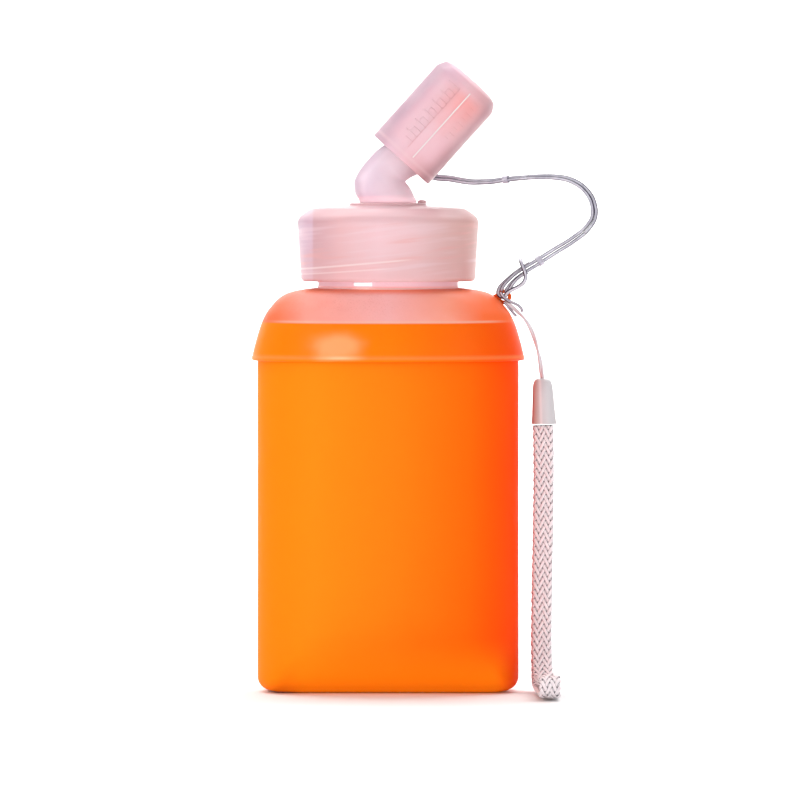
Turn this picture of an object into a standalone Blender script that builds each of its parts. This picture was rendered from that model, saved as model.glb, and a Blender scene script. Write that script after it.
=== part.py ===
"""Sports squeeze bottle: soft bag, frosted shoulder, screw lid, angled spout with cap, tether and wrist strap.

Metres, +Z up. The bottle stands on z = 0, its neck is on the Z axis and its wide side faces -Y.
"""

import math

import bmesh
import bpy
from mathutils import Matrix, Vector

MM = 0.001
TURN = 2 * math.pi

# Bag, wide and flat, with a block bottom
BAG_HALF_WIDTH = 48.3 * MM
BAG_HALF_DEPTH = 33.3 * MM
BAG_WALL = 1.7 * MM
BAG_TOP = 136.5 * MM

# Neck and screw lid
NECK_RADIUS = 25.9 * MM
NECK_BORE = 23.6 * MM
NECK_TOP = 173.2 * MM
THREAD_LEAD = 14.0 * MM
THREAD_STARTS = 3
HALF_PITCH = THREAD_LEAD / THREAD_STARTS / 2
THREAD_PHASE = 0.06
NECK_THREAD_LOW = 156.5 * MM
LID_THREAD_BACK = math.radians(98)
NECK_THREAD_CREST = 28.6 * MM
LID_THREAD_CREST = 27.0 * MM
LID_WALL_INSIDE = 30.4 * MM
LID_CEILING = 176.4 * MM
FLANGE_TOP = 180.2 * MM
FLANGE_RADIUS = 14.2 * MM

# Spout: a stem on the Z axis, a ball at the knee, a tube along the tilted axis
TILT = math.radians(42)
SHANK_RADIUS = 8.4 * MM
KNEE = Vector((-2.9, 0, 187.6)) * MM
KNEE_RADIUS = 10.1 * MM
TUBE_RADIUS = 8.15 * MM
SPOUT_BORE = 4.6 * MM
CAP_MOUTH = Vector((4.7, 0, 196.1)) * MM
CAP_RADIUS = 13.35 * MM
CAP_LENGTH = 39.6 * MM
CAP_WALL = 1.5 * MM
SPOUT_DIRECTION = Vector((math.sin(TILT), 0, math.cos(TILT)))

# Tether, string and strap
TETHER_RADIUS = 0.95 * MM
STRING_RADIUS = 0.8 * MM
STRAP_WIDTH = 8.0 * MM
STRAP_THICK = 1.4 * MM

BAG_SEGMENTS = 40
ROUND_SEGMENTS = 40

for old in list(bpy.data.objects):
    bpy.data.objects.remove(old, do_unlink=True)

parts_collection = bpy.data.collections.new("sports_squeeze_bottle")
cutter_collection = bpy.data.collections.new("cutters")
bpy.context.scene.collection.children.link(parts_collection)
bpy.context.scene.collection.children.link(cutter_collection)


def new_material(name, color, roughness, metallic=0.0, alpha=1.0):
    material = bpy.data.materials.new(name)
    material.use_nodes = True
    shader = material.node_tree.nodes["Principled BSDF"]
    shader.inputs["Base Color"].default_value = (*color, 1)
    shader.inputs["Roughness"].default_value = roughness
    shader.inputs["Metallic"].default_value = metallic
    shader.inputs["Alpha"].default_value = alpha
    return material


def new_object(name, mesh, material, origin=(0, 0, 0)):
    """An object with its origin at a stated world point; the mesh is given in world coordinates."""
    obj = bpy.data.objects.new(name, mesh)
    mesh.transform(Matrix.Translation(-Vector(origin)))
    obj.location = origin
    mesh.materials.append(material)
    parts_collection.objects.link(obj)
    return obj


def mesh_from_rings(name, rings, closed_start=False, closed_end=False, joined_ends=False):
    """Skins a list of equal rings of points; the normals are made to face outwards."""
    bm = bmesh.new()
    loops = [[bm.verts.new(p) for p in ring] for ring in rings]
    count = len(loops[0])
    pairs = list(zip(loops, loops[1:]))
    if joined_ends:
        pairs.append((loops[-1], loops[0]))
    for low, high in pairs:
        for i in range(count):
            j = (i + 1) % count
            bm.faces.new((low[i], low[j], high[j], high[i]))
    if closed_start:
        bm.faces.new(loops[0][::-1])
    if closed_end:
        bm.faces.new(loops[-1])
    bmesh.ops.recalc_face_normals(bm, faces=bm.faces)
    mesh = bpy.data.meshes.new(name)
    bm.to_mesh(mesh)
    bm.free()
    return mesh


def oval_ring(z, half_x, half_y, power, segments=BAG_SEGMENTS):
    """A superellipse at one height; power 2 is an ellipse, more is boxier."""
    ring = []
    for i in range(segments):
        angle = TURN * i / segments
        c, s = math.cos(angle), math.sin(angle)
        x = half_x * math.copysign(abs(c) ** (2 / power), c)
        y = half_y * math.copysign(abs(s) ** (2 / power), s)
        ring.append(Vector((x, y, z)))
    return ring


def oval_rings(rows, segments=BAG_SEGMENTS):
    return [oval_ring(z * MM, a * MM, b * MM, n, segments) for z, a, b, n in rows]


def lathe_mesh(name, profile, segments=ROUND_SEGMENTS, frame=Matrix.Identity(4)):
    """Turns a closed outline of (radius, height) in millimetres about the frame's Z axis."""
    rings = []
    for radius, height in profile:
        ring = []
        for i in range(segments):
            angle = TURN * i / segments
            p = Vector((radius * math.cos(angle), radius * math.sin(angle), height)) * MM
            ring.append(frame @ p)
        rings.append(ring)
    return mesh_from_rings(name, rings, joined_ends=True)


def solid_lathe_mesh(name, profile, segments=ROUND_SEGMENTS, frame=Matrix.Identity(4)):
    """Turns an open outline whose two ends are closed with flat faces."""
    rings = []
    for radius, height in profile:
        ring = []
        for i in range(segments):
            angle = TURN * i / segments
            p = Vector((radius * math.cos(angle), radius * math.sin(angle), height)) * MM
            ring.append(frame @ p)
        rings.append(ring)
    return mesh_from_rings(name, rings, closed_start=True, closed_end=True)


def helper(name, mesh):
    """A cutter or an addition for a Boolean, kept out of the render."""
    obj = bpy.data.objects.new(name, mesh)
    obj.hide_render = True
    obj.display_type = "WIRE"
    cutter_collection.objects.link(obj)
    return obj


def boolean(obj, other, operation):
    modifier = obj.modifiers.new(operation.lower() + "_" + other.name, "BOOLEAN")
    modifier.operation = operation
    modifier.solver = "EXACT"
    modifier.object = other
    return modifier


def thread_rib(name, radius_in, radius_out, low, sweep, start_angle, inward, segments):
    """One start of a helical thread, a trapezoid swept along its turn, tapered at both ends."""
    root, crest = 1.25 * MM, 0.6 * MM
    rings = []
    for i in range(segments + 1):
        t = i / segments
        angle = start_angle + sweep * t
        z = low + THREAD_LEAD * sweep * t / TURN
        fade = min(1, t * segments / 2, (1 - t) * segments / 2)
        base = radius_out if inward else radius_in
        tip = radius_in if inward else radius_out
        tip = base + (tip - base) * (0.25 + 0.75 * fade)
        c, s = math.cos(angle), math.sin(angle)
        corners = [(base, -root), (tip, -crest), (tip, crest), (base, root)]
        rings.append([Vector((r * c, r * s, z + dz)) for r, dz in corners])
    return mesh_from_rings(name, rings, closed_start=True, closed_end=True)


def smooth_route(points, spacing):
    """Points at even spacing along a Catmull-Rom curve through the given millimetre points."""
    knots = [Vector(p) * MM for p in points]
    knots = [2 * knots[0] - knots[1]] + knots + [2 * knots[-1] - knots[-2]]
    dense = []
    for k in range(1, len(knots) - 2):
        a, b, c, d = knots[k - 1 : k + 3]
        for step in range(24):
            t = step / 24
            p = 2 * b + (c - a) * t + (2 * a - 5 * b + 4 * c - d) * t * t
            p += (3 * b - a - 3 * c + d) * t ** 3
            dense.append(p / 2)
    dense.append(knots[-2].copy())
    lengths = [0.0]
    for p, q in zip(dense, dense[1:]):
        lengths.append(lengths[-1] + (q - p).length)
    count = max(2, round(lengths[-1] / spacing))
    route, k = [], 0
    for i in range(count + 1):
        wanted = lengths[-1] * i / count
        while k < len(dense) - 2 and lengths[k + 1] < wanted:
            k += 1
        part = (wanted - lengths[k]) / max(lengths[k + 1] - lengths[k], 1e-9)
        route.append(dense[k].lerp(dense[k + 1], part))
    return route


def cord_object(name, points, radius, spacing, material, parent=None, sides=2):
    """A plain round tube along a smooth route."""
    route = smooth_route(points, spacing)
    curve = bpy.data.curves.new(name, "CURVE")
    curve.dimensions = "3D"
    curve.bevel_depth = radius
    curve.bevel_resolution = sides
    curve.use_fill_caps = True
    spline = curve.splines.new("POLY")
    spline.points.add(len(route) - 1)
    for point, place in zip(spline.points, route):
        point.co = (*place, 1)
    obj = bpy.data.objects.new(name, curve)
    curve.materials.append(material)
    parts_collection.objects.link(obj)
    if parent:
        obj.parent = parent
        obj.matrix_parent_inverse = Matrix.Translation(-parent.location)
    return obj


def adopt(obj, parent):
    """Parents an object without moving it."""
    obj.parent = parent
    obj.matrix_parent_inverse = Matrix.Translation(-parent.location)
    return obj


def axis_frame(direction, origin):
    """A frame whose Z runs along a direction and whose Y stays the world's Y."""
    z = direction.normalized()
    y = Vector((0, 1, 0))
    x = y.cross(z)
    frame = Matrix((x, y, z)).transposed().to_4x4()
    frame.translation = origin
    return frame


orange_silicone = new_material("bag_silicone", (0.98, 0.22, 0.015), 0.45)
frosted_shell = new_material("frosted_shoulder", (0.92, 0.52, 0.42), 0.35)
ring_plastic = new_material("clamp_ring_plastic", (0.92, 0.72, 0.66), 0.4)
lid_plastic = new_material("lid_plastic", (0.82, 0.58, 0.60), 0.35)
spout_plastic = new_material("spout_plastic", (0.88, 0.70, 0.76), 0.35)
cap_plastic = new_material("cap_plastic", (0.88, 0.50, 0.55), 0.3)
coral_silicone = new_material("mouthpiece_silicone", (0.90, 0.28, 0.25), 0.45)
white_rubber = new_material("seal_silicone", (0.80, 0.76, 0.76), 0.6)
tether_plastic = new_material("tether_plastic", (0.52, 0.46, 0.52), 0.25)
string_cotton = new_material("string_cotton", (0.82, 0.66, 0.66), 0.8)
ferrule_plastic = new_material("ferrule_plastic", (0.70, 0.55, 0.54), 0.4)
strap_webbing = new_material("strap_webbing", (0.64, 0.54, 0.58), 0.85)
crimp_metal = new_material("crimp_metal", (0.6, 0.6, 0.62), 0.35, 1.0)

# ---- Bag -------------------------------------------------------------------------------------
BAG_OUTSIDE = [
    (0.0, 43.6, 15.0, 3.0),
    (0.7, 46.0, 17.2, 3.0),
    (2.2, 47.6, 18.9, 3.0),
    (5.0, 48.3, 20.2, 3.0),
    (14.0, 48.3, 23.2, 3.0),
    (28.0, 48.3, 27.2, 2.9),
    (44.0, 48.3, 30.6, 2.75),
    (66.0, 48.3, 32.8, 2.6),
    (92.0, 48.3, 33.3, 2.5),
    (121.5, 48.3, 33.3, 2.4),
    (125.0, 48.1, 33.1, 2.4),
    (128.0, 47.4, 32.7, 2.4),
    (131.0, 46.6, 32.2, 2.4),
    (133.9, 45.8, 31.6, 2.4),
    (136.5, 44.8, 31.0, 2.4),
]
wall = BAG_WALL / MM
bag_inside = [(z, a - wall, b - wall, n) for z, a, b, n in reversed(BAG_OUTSIDE[3:])]
bag_inside += [(2.4, 45.0, 16.8, 3.0), (1.7, 42.6, 14.2, 3.0)]
bag_mesh = mesh_from_rings(
    "bag", oval_rings(BAG_OUTSIDE + bag_inside), closed_start=True, closed_end=True
)
bag = new_object("bag", bag_mesh, orange_silicone)

# ---- Shoulder shell with neck, thread and lug ----------------------------------------------------
SHELL_OUTSIDE = [
    (122.1, 50.3, 35.3, 2.4),
    (125.0, 50.0, 35.0, 2.4),
    (128.5, 49.1, 34.5, 2.4),
    (133.9, 47.5, 33.5, 2.4),
    (137.2, 46.2, 32.6, 2.4),
    (139.9, 44.8, 31.9, 2.4),
    (142.8, 42.5, 30.8, 2.35),
    (144.6, 40.8, 30.0, 2.3),
    (146.4, 38.2, 29.2, 2.2),
    (147.6, 34.9, 28.3, 2.1),
    (148.4, 30.4, 27.4, 2.0),
    (148.9, 26.6, 26.3, 2.0),
    (149.6, 25.9, 25.9, 2.0),
    (172.6, 25.9, 25.9, 2.0),
    (173.2, 25.3, 25.3, 2.0),
]
SHELL_INSIDE = [
    (173.2, 24.2, 24.2, 2.0),
    (172.6, 23.6, 23.6, 2.0),
    (147.8, 23.6, 23.6, 2.0),
    (146.5, 25.0, 24.6, 2.0),
    (146.1, 31.0, 26.2, 2.05),
    (144.9, 36.4, 27.6, 2.2),
    (142.6, 40.3, 29.0, 2.3),
    (139.9, 43.2, 30.4, 2.4),
    (137.2, 44.9, 31.4, 2.4),
    (133.9, 46.2, 32.1, 2.4),
    (128.5, 47.7, 33.0, 2.4),
    (125.0, 48.6, 33.6, 2.4),
    (122.1, 48.9, 33.9, 2.4),
]
shell_rings = oval_rings(SHELL_OUTSIDE + SHELL_INSIDE)
shoulder_shell = new_object(
    "shoulder_shell", mesh_from_rings("shoulder_shell", shell_rings, joined_ends=True), frosted_shell
)
for start in range(THREAD_STARTS):
    rib = thread_rib(
        f"neck_thread_{start}",
        NECK_RADIUS - 0.5 * MM,
        NECK_THREAD_CREST,
        NECK_THREAD_LOW,
        math.radians(240),
        THREAD_PHASE + TURN * start / THREAD_STARTS,
        False,
        16,
    )
    boolean(shoulder_shell, helper(f"neck_thread_{start}", rib), "UNION")


def lug_plate(name, centre, radius, root, root_half, thickness, sides=20):
    """A flat tab in the XZ plane: a round eye joined to a wider root."""
    outline = []
    toward = (root - centre).normalized()
    base = math.atan2(toward.z, toward.x)
    for i in range(sides + 1):
        angle = base + math.radians(70) + math.radians(220) * i / sides
        outline.append((centre.x + radius * math.cos(angle), centre.z + radius * math.sin(angle)))
    across = Vector((-toward.z, 0, toward.x))
    for side in (-1, 1):
        corner = root + across * root_half * side
        outline.append((corner.x, corner.z))
    front = [Vector((x, -thickness / 2, z)) for x, z in outline]
    back = [Vector((x, thickness / 2, z)) for x, z in outline]
    return mesh_from_rings(name, [front, back], closed_start=True, closed_end=True)


LUG_EYE = Vector((42.9, 0, 145.5)) * MM
lug = lug_plate("lanyard_lug", LUG_EYE, 2.7 * MM, Vector((38.4, 0, 143.2)) * MM, 2.3 * MM, 3.0 * MM)
boolean(shoulder_shell, helper("lanyard_lug", lug), "UNION")
eye_frame = Matrix.Translation(LUG_EYE) @ Matrix.Rotation(math.pi / 2, 4, "X")
eye_cut = solid_lathe_mesh("lug_eye", [(1.35, -4), (1.35, 4)], 16, eye_frame)
boolean(shoulder_shell, helper("lug_eye", eye_cut), "DIFFERENCE")

# ---- Clamp ring inside the bag's top edge --------------------------------------------------------
RING_ROWS = [
    (128.6, 45.2, 30.5, 2.4),
    (136.5, 42.7, 28.9, 2.4),
    (136.8, 44.1, 30.5, 2.4),
    (138.1, 43.9, 30.3, 2.4),
    (138.6, 43.2, 29.7, 2.4),
    (138.6, 40.9, 27.4, 2.4),
    (128.6, 43.4, 28.8, 2.4),
]
bag_clamp_ring = new_object(
    "bag_clamp_ring", mesh_from_rings("bag_clamp_ring", oval_rings(RING_ROWS), joined_ends=True), ring_plastic
)

# ---- Lid, on its turning axis --------------------------------------------------------------------
lid_axis = bpy.data.objects.new("lid_axis", None)
lid_axis.location = (0, 0, 0.1506)
parts_collection.objects.link(lid_axis)
LID_OUTLINE = [
    (31.4, 151.3),
    (32.2, 152.1),
    (32.45, 156.0),
    (33.1, 168.0),
    (33.5, 173.0),
    (32.9, 174.6),
    (31.1, 176.3),
    (28.6, 177.8),
    (25.0, 178.5),
    (20.0, 178.9),
    (14.3, 179.1),
    (14.2, 179.9),
    (13.8, 180.2),
    (10.2, 180.2),
    (9.9, 179.9),
    (9.9, 176.4),
    (29.1, 176.4),
    (30.4, 175.2),
    (30.4, 152.6),
    (30.8, 151.3),
]
lid = new_object("lid", lathe_mesh("lid", LID_OUTLINE), lid_plastic, lid_axis.location)
adopt(lid, lid_axis)
for start in range(THREAD_STARTS):
    rib = thread_rib(
        f"lid_thread_{start}",
        LID_THREAD_CREST,
        LID_WALL_INSIDE + 0.6 * MM,
        NECK_THREAD_LOW + HALF_PITCH - THREAD_LEAD * LID_THREAD_BACK / TURN,
        math.radians(240),
        THREAD_PHASE - LID_THREAD_BACK + TURN * start / THREAD_STARTS,
        True,
        16,
    )
    boolean(lid, helper(f"lid_thread_{start}", rib), "UNION")
nub = solid_lathe_mesh(
    "stop_nub", [(1.5, 178.0), (1.5, 181.2), (1.0, 181.7)], 12, Matrix.Translation((12.3 * MM, 0, 0))
)
boolean(lid, helper("stop_nub", nub), "UNION")

gasket_mesh = lathe_mesh("lid_gasket", [(22.6, 173.6), (27.8, 173.6), (27.8, 176.0), (22.6, 176.0)])
lid_gasket = new_object("lid_gasket", gasket_mesh, white_rubber, (0, 0, 0.1736))

# ---- Spout, on its swivel axis -------------------------------------------------------------------
spout_axis = bpy.data.objects.new("spout_axis", None)
spout_axis.location = (0, 0, 0.1802)
parts_collection.objects.link(spout_axis)
SHANK_OUTLINE = [
    (9.3, 171.0),
    (9.5, 171.5),
    (9.2, 172.3),
    (8.4, 172.5),
    (8.4, 176.8),
    (7.3, 176.9),
    (7.3, 179.3),
    (8.4, 179.4),
    (8.4, 180.6),
    (10.6, 180.6),
    (10.6, 181.6),
    (10.0, 182.4),
    (9.6, 184.0),
]
spout_elbow = new_object(
    "spout_elbow", solid_lathe_mesh("spout_elbow", SHANK_OUTLINE, 30), spout_plastic, spout_axis.location
)
adopt(spout_elbow, spout_axis)


def skin_between(name, low, low_radius, low_tilt, high, high_radius, high_tilt, segments=28):
    """A round skin from one circle to another, each on its own centre and lean in the XZ plane."""
    rings = []
    for centre, radius, tilt in ((low, low_radius, low_tilt), (high, high_radius, high_tilt)):
        frame = axis_frame(Vector((math.sin(tilt), 0, math.cos(tilt))), centre)
        ring = []
        for i in range(segments):
            angle = TURN * (i + 0.5) / segments
            ring.append(frame @ Vector((radius * math.cos(angle), radius * math.sin(angle), 0)))
        rings.append(ring)
    return mesh_from_rings(name, rings, closed_start=True, closed_end=True)


def ball(name, centre, radius, rings_count=14, segments=28):
    bm = bmesh.new()
    bmesh.ops.create_uvsphere(bm, u_segments=segments, v_segments=rings_count, radius=radius)
    bmesh.ops.transform(bm, matrix=Matrix.Translation(centre), verts=bm.verts)
    mesh = bpy.data.meshes.new(name)
    bm.to_mesh(mesh)
    bm.free()
    return mesh


def on_axis(distance_mm):
    return CAP_MOUTH + SPOUT_DIRECTION * distance_mm * MM


spout_frame = axis_frame(SPOUT_DIRECTION, CAP_MOUTH)
stem = skin_between("spout_stem", Vector((0, 0, 0.1818)), 9.9 * MM, 0, KNEE, 9.95 * MM, 0)
boolean(spout_elbow, helper("spout_stem", stem), "UNION")
boolean(spout_elbow, helper("spout_knee", ball("spout_knee", KNEE, KNEE_RADIUS)), "UNION")
TUBE_OUTLINE = [
    (9.7, -11.4),
    (8.5, -2.0),
    (8.15, 0.5),
    (8.15, 1.6),
    (11.3, 2.0),
    (11.4, 3.8),
    (11.0, 4.2),
    (8.15, 4.4),
    (8.1, 6.0),
    (6.1, 6.1),
    (6.1, 13.6),
    (5.7, 14.0),
]
tube = solid_lathe_mesh("spout_tube", TUBE_OUTLINE, 28, spout_frame @ Matrix.Rotation(0.05, 4, "Z"))
boolean(spout_elbow, helper("spout_tube", tube), "UNION")
stem_bore = skin_between(
    "stem_bore", Vector((0, 0, 0.169)), SPOUT_BORE, 0, Vector((-1.6, 0, 188.4)) * MM, SPOUT_BORE, 0.1, 20
)
boolean(spout_elbow, helper("stem_bore", stem_bore), "DIFFERENCE")
tube_bore = skin_between("tube_bore", on_axis(-10.2), SPOUT_BORE, TILT, on_axis(17), SPOUT_BORE, TILT, 20)
boolean(spout_elbow, helper("tube_bore", tube_bore), "DIFFERENCE")

oring_mesh = lathe_mesh(
    "spout_oring",
    [(8.55 + 0.8 * math.cos(TURN * k / 8), 178.1 + 0.8 * math.sin(TURN * k / 8)) for k in range(8)],
    24,
)
spout_oring = adopt(
    new_object("spout_oring", oring_mesh, white_rubber, spout_axis.location), spout_axis
)
retainer_mesh = lathe_mesh(
    "spout_retaining_ring", [(8.8, 172.9), (12.4, 172.9), (13.0, 173.5), (13.0, 176.0), (8.8, 176.0)], 32
)
spout_retaining_ring = adopt(
    new_object("spout_retaining_ring", retainer_mesh, ring_plastic, spout_axis.location), spout_axis
)
MOUTHPIECE_OUTLINE = [
    (6.5, 6.5),
    (8.7, 6.5),
    (9.0, 8.0),
    (8.2, 10.5),
    (7.5, 14.0),
    (7.5, 18.0),
    (8.0, 22.0),
    (8.8, 25.5),
    (9.2, 28.5),
    (8.8, 31.5),
    (7.4, 33.8),
    (5.0, 34.9),
    (3.0, 34.9),
    (2.6, 34.2),
    (2.9, 31.0),
    (4.7, 27.0),
    (4.8, 15.4),
    (6.5, 14.4),
]
mouthpiece_mesh = lathe_mesh("mouthpiece", MOUTHPIECE_OUTLINE, 26, spout_frame)
mouthpiece = adopt(
    new_object("mouthpiece", mouthpiece_mesh, coral_silicone, spout_axis.location), spout_axis
)

# ---- Cap, on its pull axis -----------------------------------------------------------------------
CAP_OUTLINE = [
    (13.0, 0.0),
    (13.35, 0.4),
    (13.35, 34.2),
    (12.75, 36.9),
    (11.2, 38.9),
    (8.6, 39.6),
]
CAP_HOLLOW = [(11.85, -2.0), (11.85, 33.4), (11.5, 35.4), (10.3, 37.2), (8.2, 38.1)]
cap_mesh_outer = solid_lathe_mesh("spout_cap", CAP_OUTLINE, 40, spout_frame)
spout_cap = new_object("spout_cap", cap_mesh_outer, cap_plastic, CAP_MOUTH)
cap_hollow = solid_lathe_mesh("cap_hollow", CAP_HOLLOW, 40, spout_frame)
EYELET_TURN = math.radians(60)
eyelet_out = Vector((math.cos(TILT), 0, -math.sin(TILT))) * math.cos(EYELET_TURN)
eyelet_out += Vector((0, 1, 0)) * math.sin(EYELET_TURN)
eyelet_side = SPOUT_DIRECTION.cross(eyelet_out)
eyelet_centre = on_axis(3.2) + eyelet_out * 15.6 * MM
eyelet_outline = []
for k in range(15):
    angle = math.radians(-110 + 220 * k / 14)
    eyelet_outline.append((2.9 * math.cos(angle), 2.9 * math.sin(angle)))
eyelet_outline += [(-3.0, 2.7), (-3.0, -2.7)]
eyelet_rings = []
for side in (-1, 1):
    ring = []
    for outward, sideways in eyelet_outline:
        offset = eyelet_out * outward + eyelet_side * sideways + SPOUT_DIRECTION * 1.1 * side
        ring.append(eyelet_centre + offset * MM)
    eyelet_rings.append(ring)
eyelet = mesh_from_rings("cap_eyelet", eyelet_rings, closed_start=True, closed_end=True)
boolean(spout_cap, helper("cap_eyelet", eyelet), "UNION")
eyelet_frame = axis_frame(SPOUT_DIRECTION, eyelet_centre)
eyelet_hole = solid_lathe_mesh("eyelet_hole", [(1.45, -3), (1.45, 3)], 14, eyelet_frame)
boolean(spout_cap, helper("eyelet_hole", eyelet_hole), "DIFFERENCE")
boolean(spout_cap, helper("cap_hollow", cap_hollow), "DIFFERENCE")

# ---- Tether from the cap to the lug --------------------------------------------------------------
TETHER_UPPER = [
    (14.6, 15.6, 190.0),
    (18.1, 15.0, 189.6),
    (22.9, 13.8, 189.2),
    (30.3, 11.4, 188.0),
    (37.7, 8.6, 188.1),
    (41.6, 7.2, 188.6),
]
TETHER_LOOP = [
    (46.6, 5.4, 189.2),
    (51.5, 4.0, 189.6),
    (56.2, 2.8, 189.85),
    (61.8, 1.6, 189.75),
    (66.4, 0.7, 189.0),
    (70.0, 0.0, 187.4),
    (72.7, -0.3, 185.3),
    (75.0, -0.6, 182.2),
    (76.1, -0.8, 178.8),
    (76.2, -0.9, 175.8),
    (75.3, -1.0, 173.2),
    (73.0, -1.1, 170.2),
]
TETHER_LOWER = [
    (72.1, -1.2, 169.35),
    (69.6, -1.2, 167.5),
    (66.6, -1.3, 165.4),
    (62.9, -1.4, 163.2),
    (58.1, -1.6, 160.2),
    (54.4, -1.8, 157.8),
    (50.7, -2.2, 155.6),
    (47.0, -2.7, 153.0),
    (44.4, -3.0, 150.5),
    (43.0, -3.1, 148.6),
    (42.6, -3.1, 147.4),
]
SLEEVE_UPPER = [(41.9, 7.08, 188.66), (46.2, 5.55, 189.12)]
STRAP_STRING = [
    (43.7, -2.8, 144.2),
    (44.8, -2.7, 142.6),
    (47.2, -2.3, 140.6),
    (49.6, -1.9, 138.3),
    (51.4, -1.5, 136.0),
    (53.1, -1.1, 132.9),
    (54.5, -0.7, 129.0),
    (55.5, -0.4, 125.1),
    (56.3, -0.1, 121.4),
    (56.7, 0.0, 118.0),
    (57.0, 0.0, 115.8),
]
cord_object("tether_upper", TETHER_UPPER, 1.1 * MM, 2.6 * MM, tether_plastic, spout_axis)
cord_object("tether_loop", TETHER_LOOP, TETHER_RADIUS, 2.8 * MM, tether_plastic, spout_axis)
cord_object("tether_lower", TETHER_LOWER, TETHER_RADIUS, 2.6 * MM, tether_plastic)
cord_object("sleeve_upper", SLEEVE_UPPER, 1.7 * MM, 2.3 * MM, tether_plastic, spout_axis)
cord_object("strap_string", STRAP_STRING, STRING_RADIUS, 2.4 * MM, string_cotton)


def tube_sleeve(name, centre, direction, length, inner, outer, segments, material):
    """A short open tube threaded on a cord."""
    frame = axis_frame(direction, centre)
    half = length / 2
    rows = [(inner, -half), (outer, -half), (outer, half), (inner, half)]
    return new_object(name, lathe_mesh(name, rows, segments, frame), material)


sleeve_centre = Vector((56.25, -1.7, 159.0)) * MM
sleeve_way = Vector((58.1 - 54.4, 0, 160.2 - 157.8))
tube_sleeve("sleeve_lower", sleeve_centre, sleeve_way, 2.4, 1.35, 1.95, 14, tether_plastic)

knot_low = Vector((49.2, -2.35, 154.65))
knot_high = Vector((53.0, -1.97, 156.95))
knot_frame = axis_frame(knot_high - knot_low, knot_low * MM)
knot_points = []
for k in range(37):
    angle = TURN * k / 12
    turn = Vector((2.35 * math.cos(angle), 2.35 * math.sin(angle), 4.4 * k / 36))
    knot_points.append(knot_frame @ (turn * MM))
knot_curve = bpy.data.curves.new("tether_knot", "CURVE")
knot_curve.dimensions = "3D"
knot_curve.bevel_depth = 0.62 * MM
knot_curve.bevel_resolution = 1
knot_curve.use_fill_caps = True
knot_spline = knot_curve.splines.new("POLY")
knot_spline.points.add(len(knot_points) - 1)
for point, place in zip(knot_spline.points, knot_points):
    point.co = (*place, 1)
knot_curve.materials.append(tether_plastic)
tether_knot = bpy.data.objects.new("tether_knot", knot_curve)
parts_collection.objects.link(tether_knot)

# ---- Cord end, crimp and wrist strap -------------------------------------------------------------
cord_end_frame = Matrix.Translation((57.4 * MM, 0, 0))
CORD_END_OUTLINE = [
    (4.1, 98.4),
    (4.6, 98.5),
    (4.5, 100.5),
    (4.15, 105.0),
    (3.9, 110.0),
    (3.75, 113.2),
    (3.35, 114.7),
    (2.3, 115.3),
]
cord_end_mesh = solid_lathe_mesh("cord_end", CORD_END_OUTLINE, 24, cord_end_frame)
cord_end = new_object("cord_end", cord_end_mesh, ferrule_plastic, (57.4 * MM, 0, 98.4 * MM))
cord_end_hollow = solid_lathe_mesh("cord_end_hollow", [(3.75, 97.0), (3.7, 104.6)], 20, cord_end_frame)
boolean(cord_end, helper("cord_end_hollow", cord_end_hollow), "DIFFERENCE")

bm = bmesh.new()
bmesh.ops.create_cube(bm, size=1)
bmesh.ops.transform(bm, matrix=Matrix.Diagonal((5.0 * MM, 3.2 * MM, 4.2 * MM, 1)), verts=bm.verts)
bmesh.ops.transform(bm, matrix=Matrix.Translation((57.4 * MM, 0, 101.9 * MM)), verts=bm.verts)
crimp_mesh = bpy.data.meshes.new("strap_crimp")
bm.to_mesh(crimp_mesh)
bm.free()
strap_crimp = new_object("strap_crimp", crimp_mesh, crimp_metal, (57.4 * MM, 0, 101.9 * MM))

STRAP_ROUTE = [
    (57.4, -1.9, 98.0),
    (57.5, -1.95, 92.0),
    (57.6, -2.0, 80.0),
    (57.4, -2.0, 60.0),
    (57.0, -2.0, 38.0),
    (56.8, -2.2, 22.0),
    (56.9, -3.6, 12.0),
    (57.2, -8.0, 6.2),
    (57.6, -15.0, 4.8),
    (58.2, -28.0, 4.8),
    (58.6, -42.0, 5.6),
    (58.8, -50.0, 7.4),
    (58.8, -56.0, 7.8),
    (58.8, -59.6, 5.0),
    (58.8, -57.6, 1.8),
    (58.7, -52.0, 1.05),
    (58.4, -40.0, 1.05),
    (58.0, -26.0, 1.05),
    (57.5, -12.0, 1.1),
    (57.0, -4.0, 2.4),
    (56.8, 0.6, 7.0),
    (56.8, 1.9, 14.0),
    (56.8, 2.0, 26.0),
    (57.0, 2.0, 40.0),
    (57.4, 2.0, 60.0),
    (57.6, 2.0, 80.0),
    (57.5, 1.95, 92.0),
    (57.4, 1.9, 98.0),
]
strap_line = smooth_route(STRAP_ROUTE, 4.2 * MM)
strap_rings = []
for k, place in enumerate(strap_line):
    ahead = strap_line[min(k + 1, len(strap_line) - 1)]
    behind = strap_line[max(k - 1, 0)]
    tangent = (ahead - behind).normalized()
    side = Vector((1, 0, 0))
    side = (side - tangent * side.dot(tangent)).normalized()
    up = tangent.cross(side)
    ring = []
    for across, out in ((-1, -0.5), (-0.8, -1), (0.8, -1), (1, -0.5), (1, 0.5), (0.8, 1), (-0.8, 1), (-1, 0.5)):
        ring.append(place + side * across * STRAP_WIDTH / 2 + up * out * STRAP_THICK / 2)
    strap_rings.append(ring)
strap_mesh = mesh_from_rings("wrist_strap", strap_rings, closed_start=True, closed_end=True)
wrist_strap = new_object("wrist_strap", strap_mesh, strap_webbing)
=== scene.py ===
"""Looks of the sports squeeze bottle: every visible piece is made here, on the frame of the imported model."""

import math

import bmesh
import bpy
from mathutils import Matrix, Vector


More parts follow.
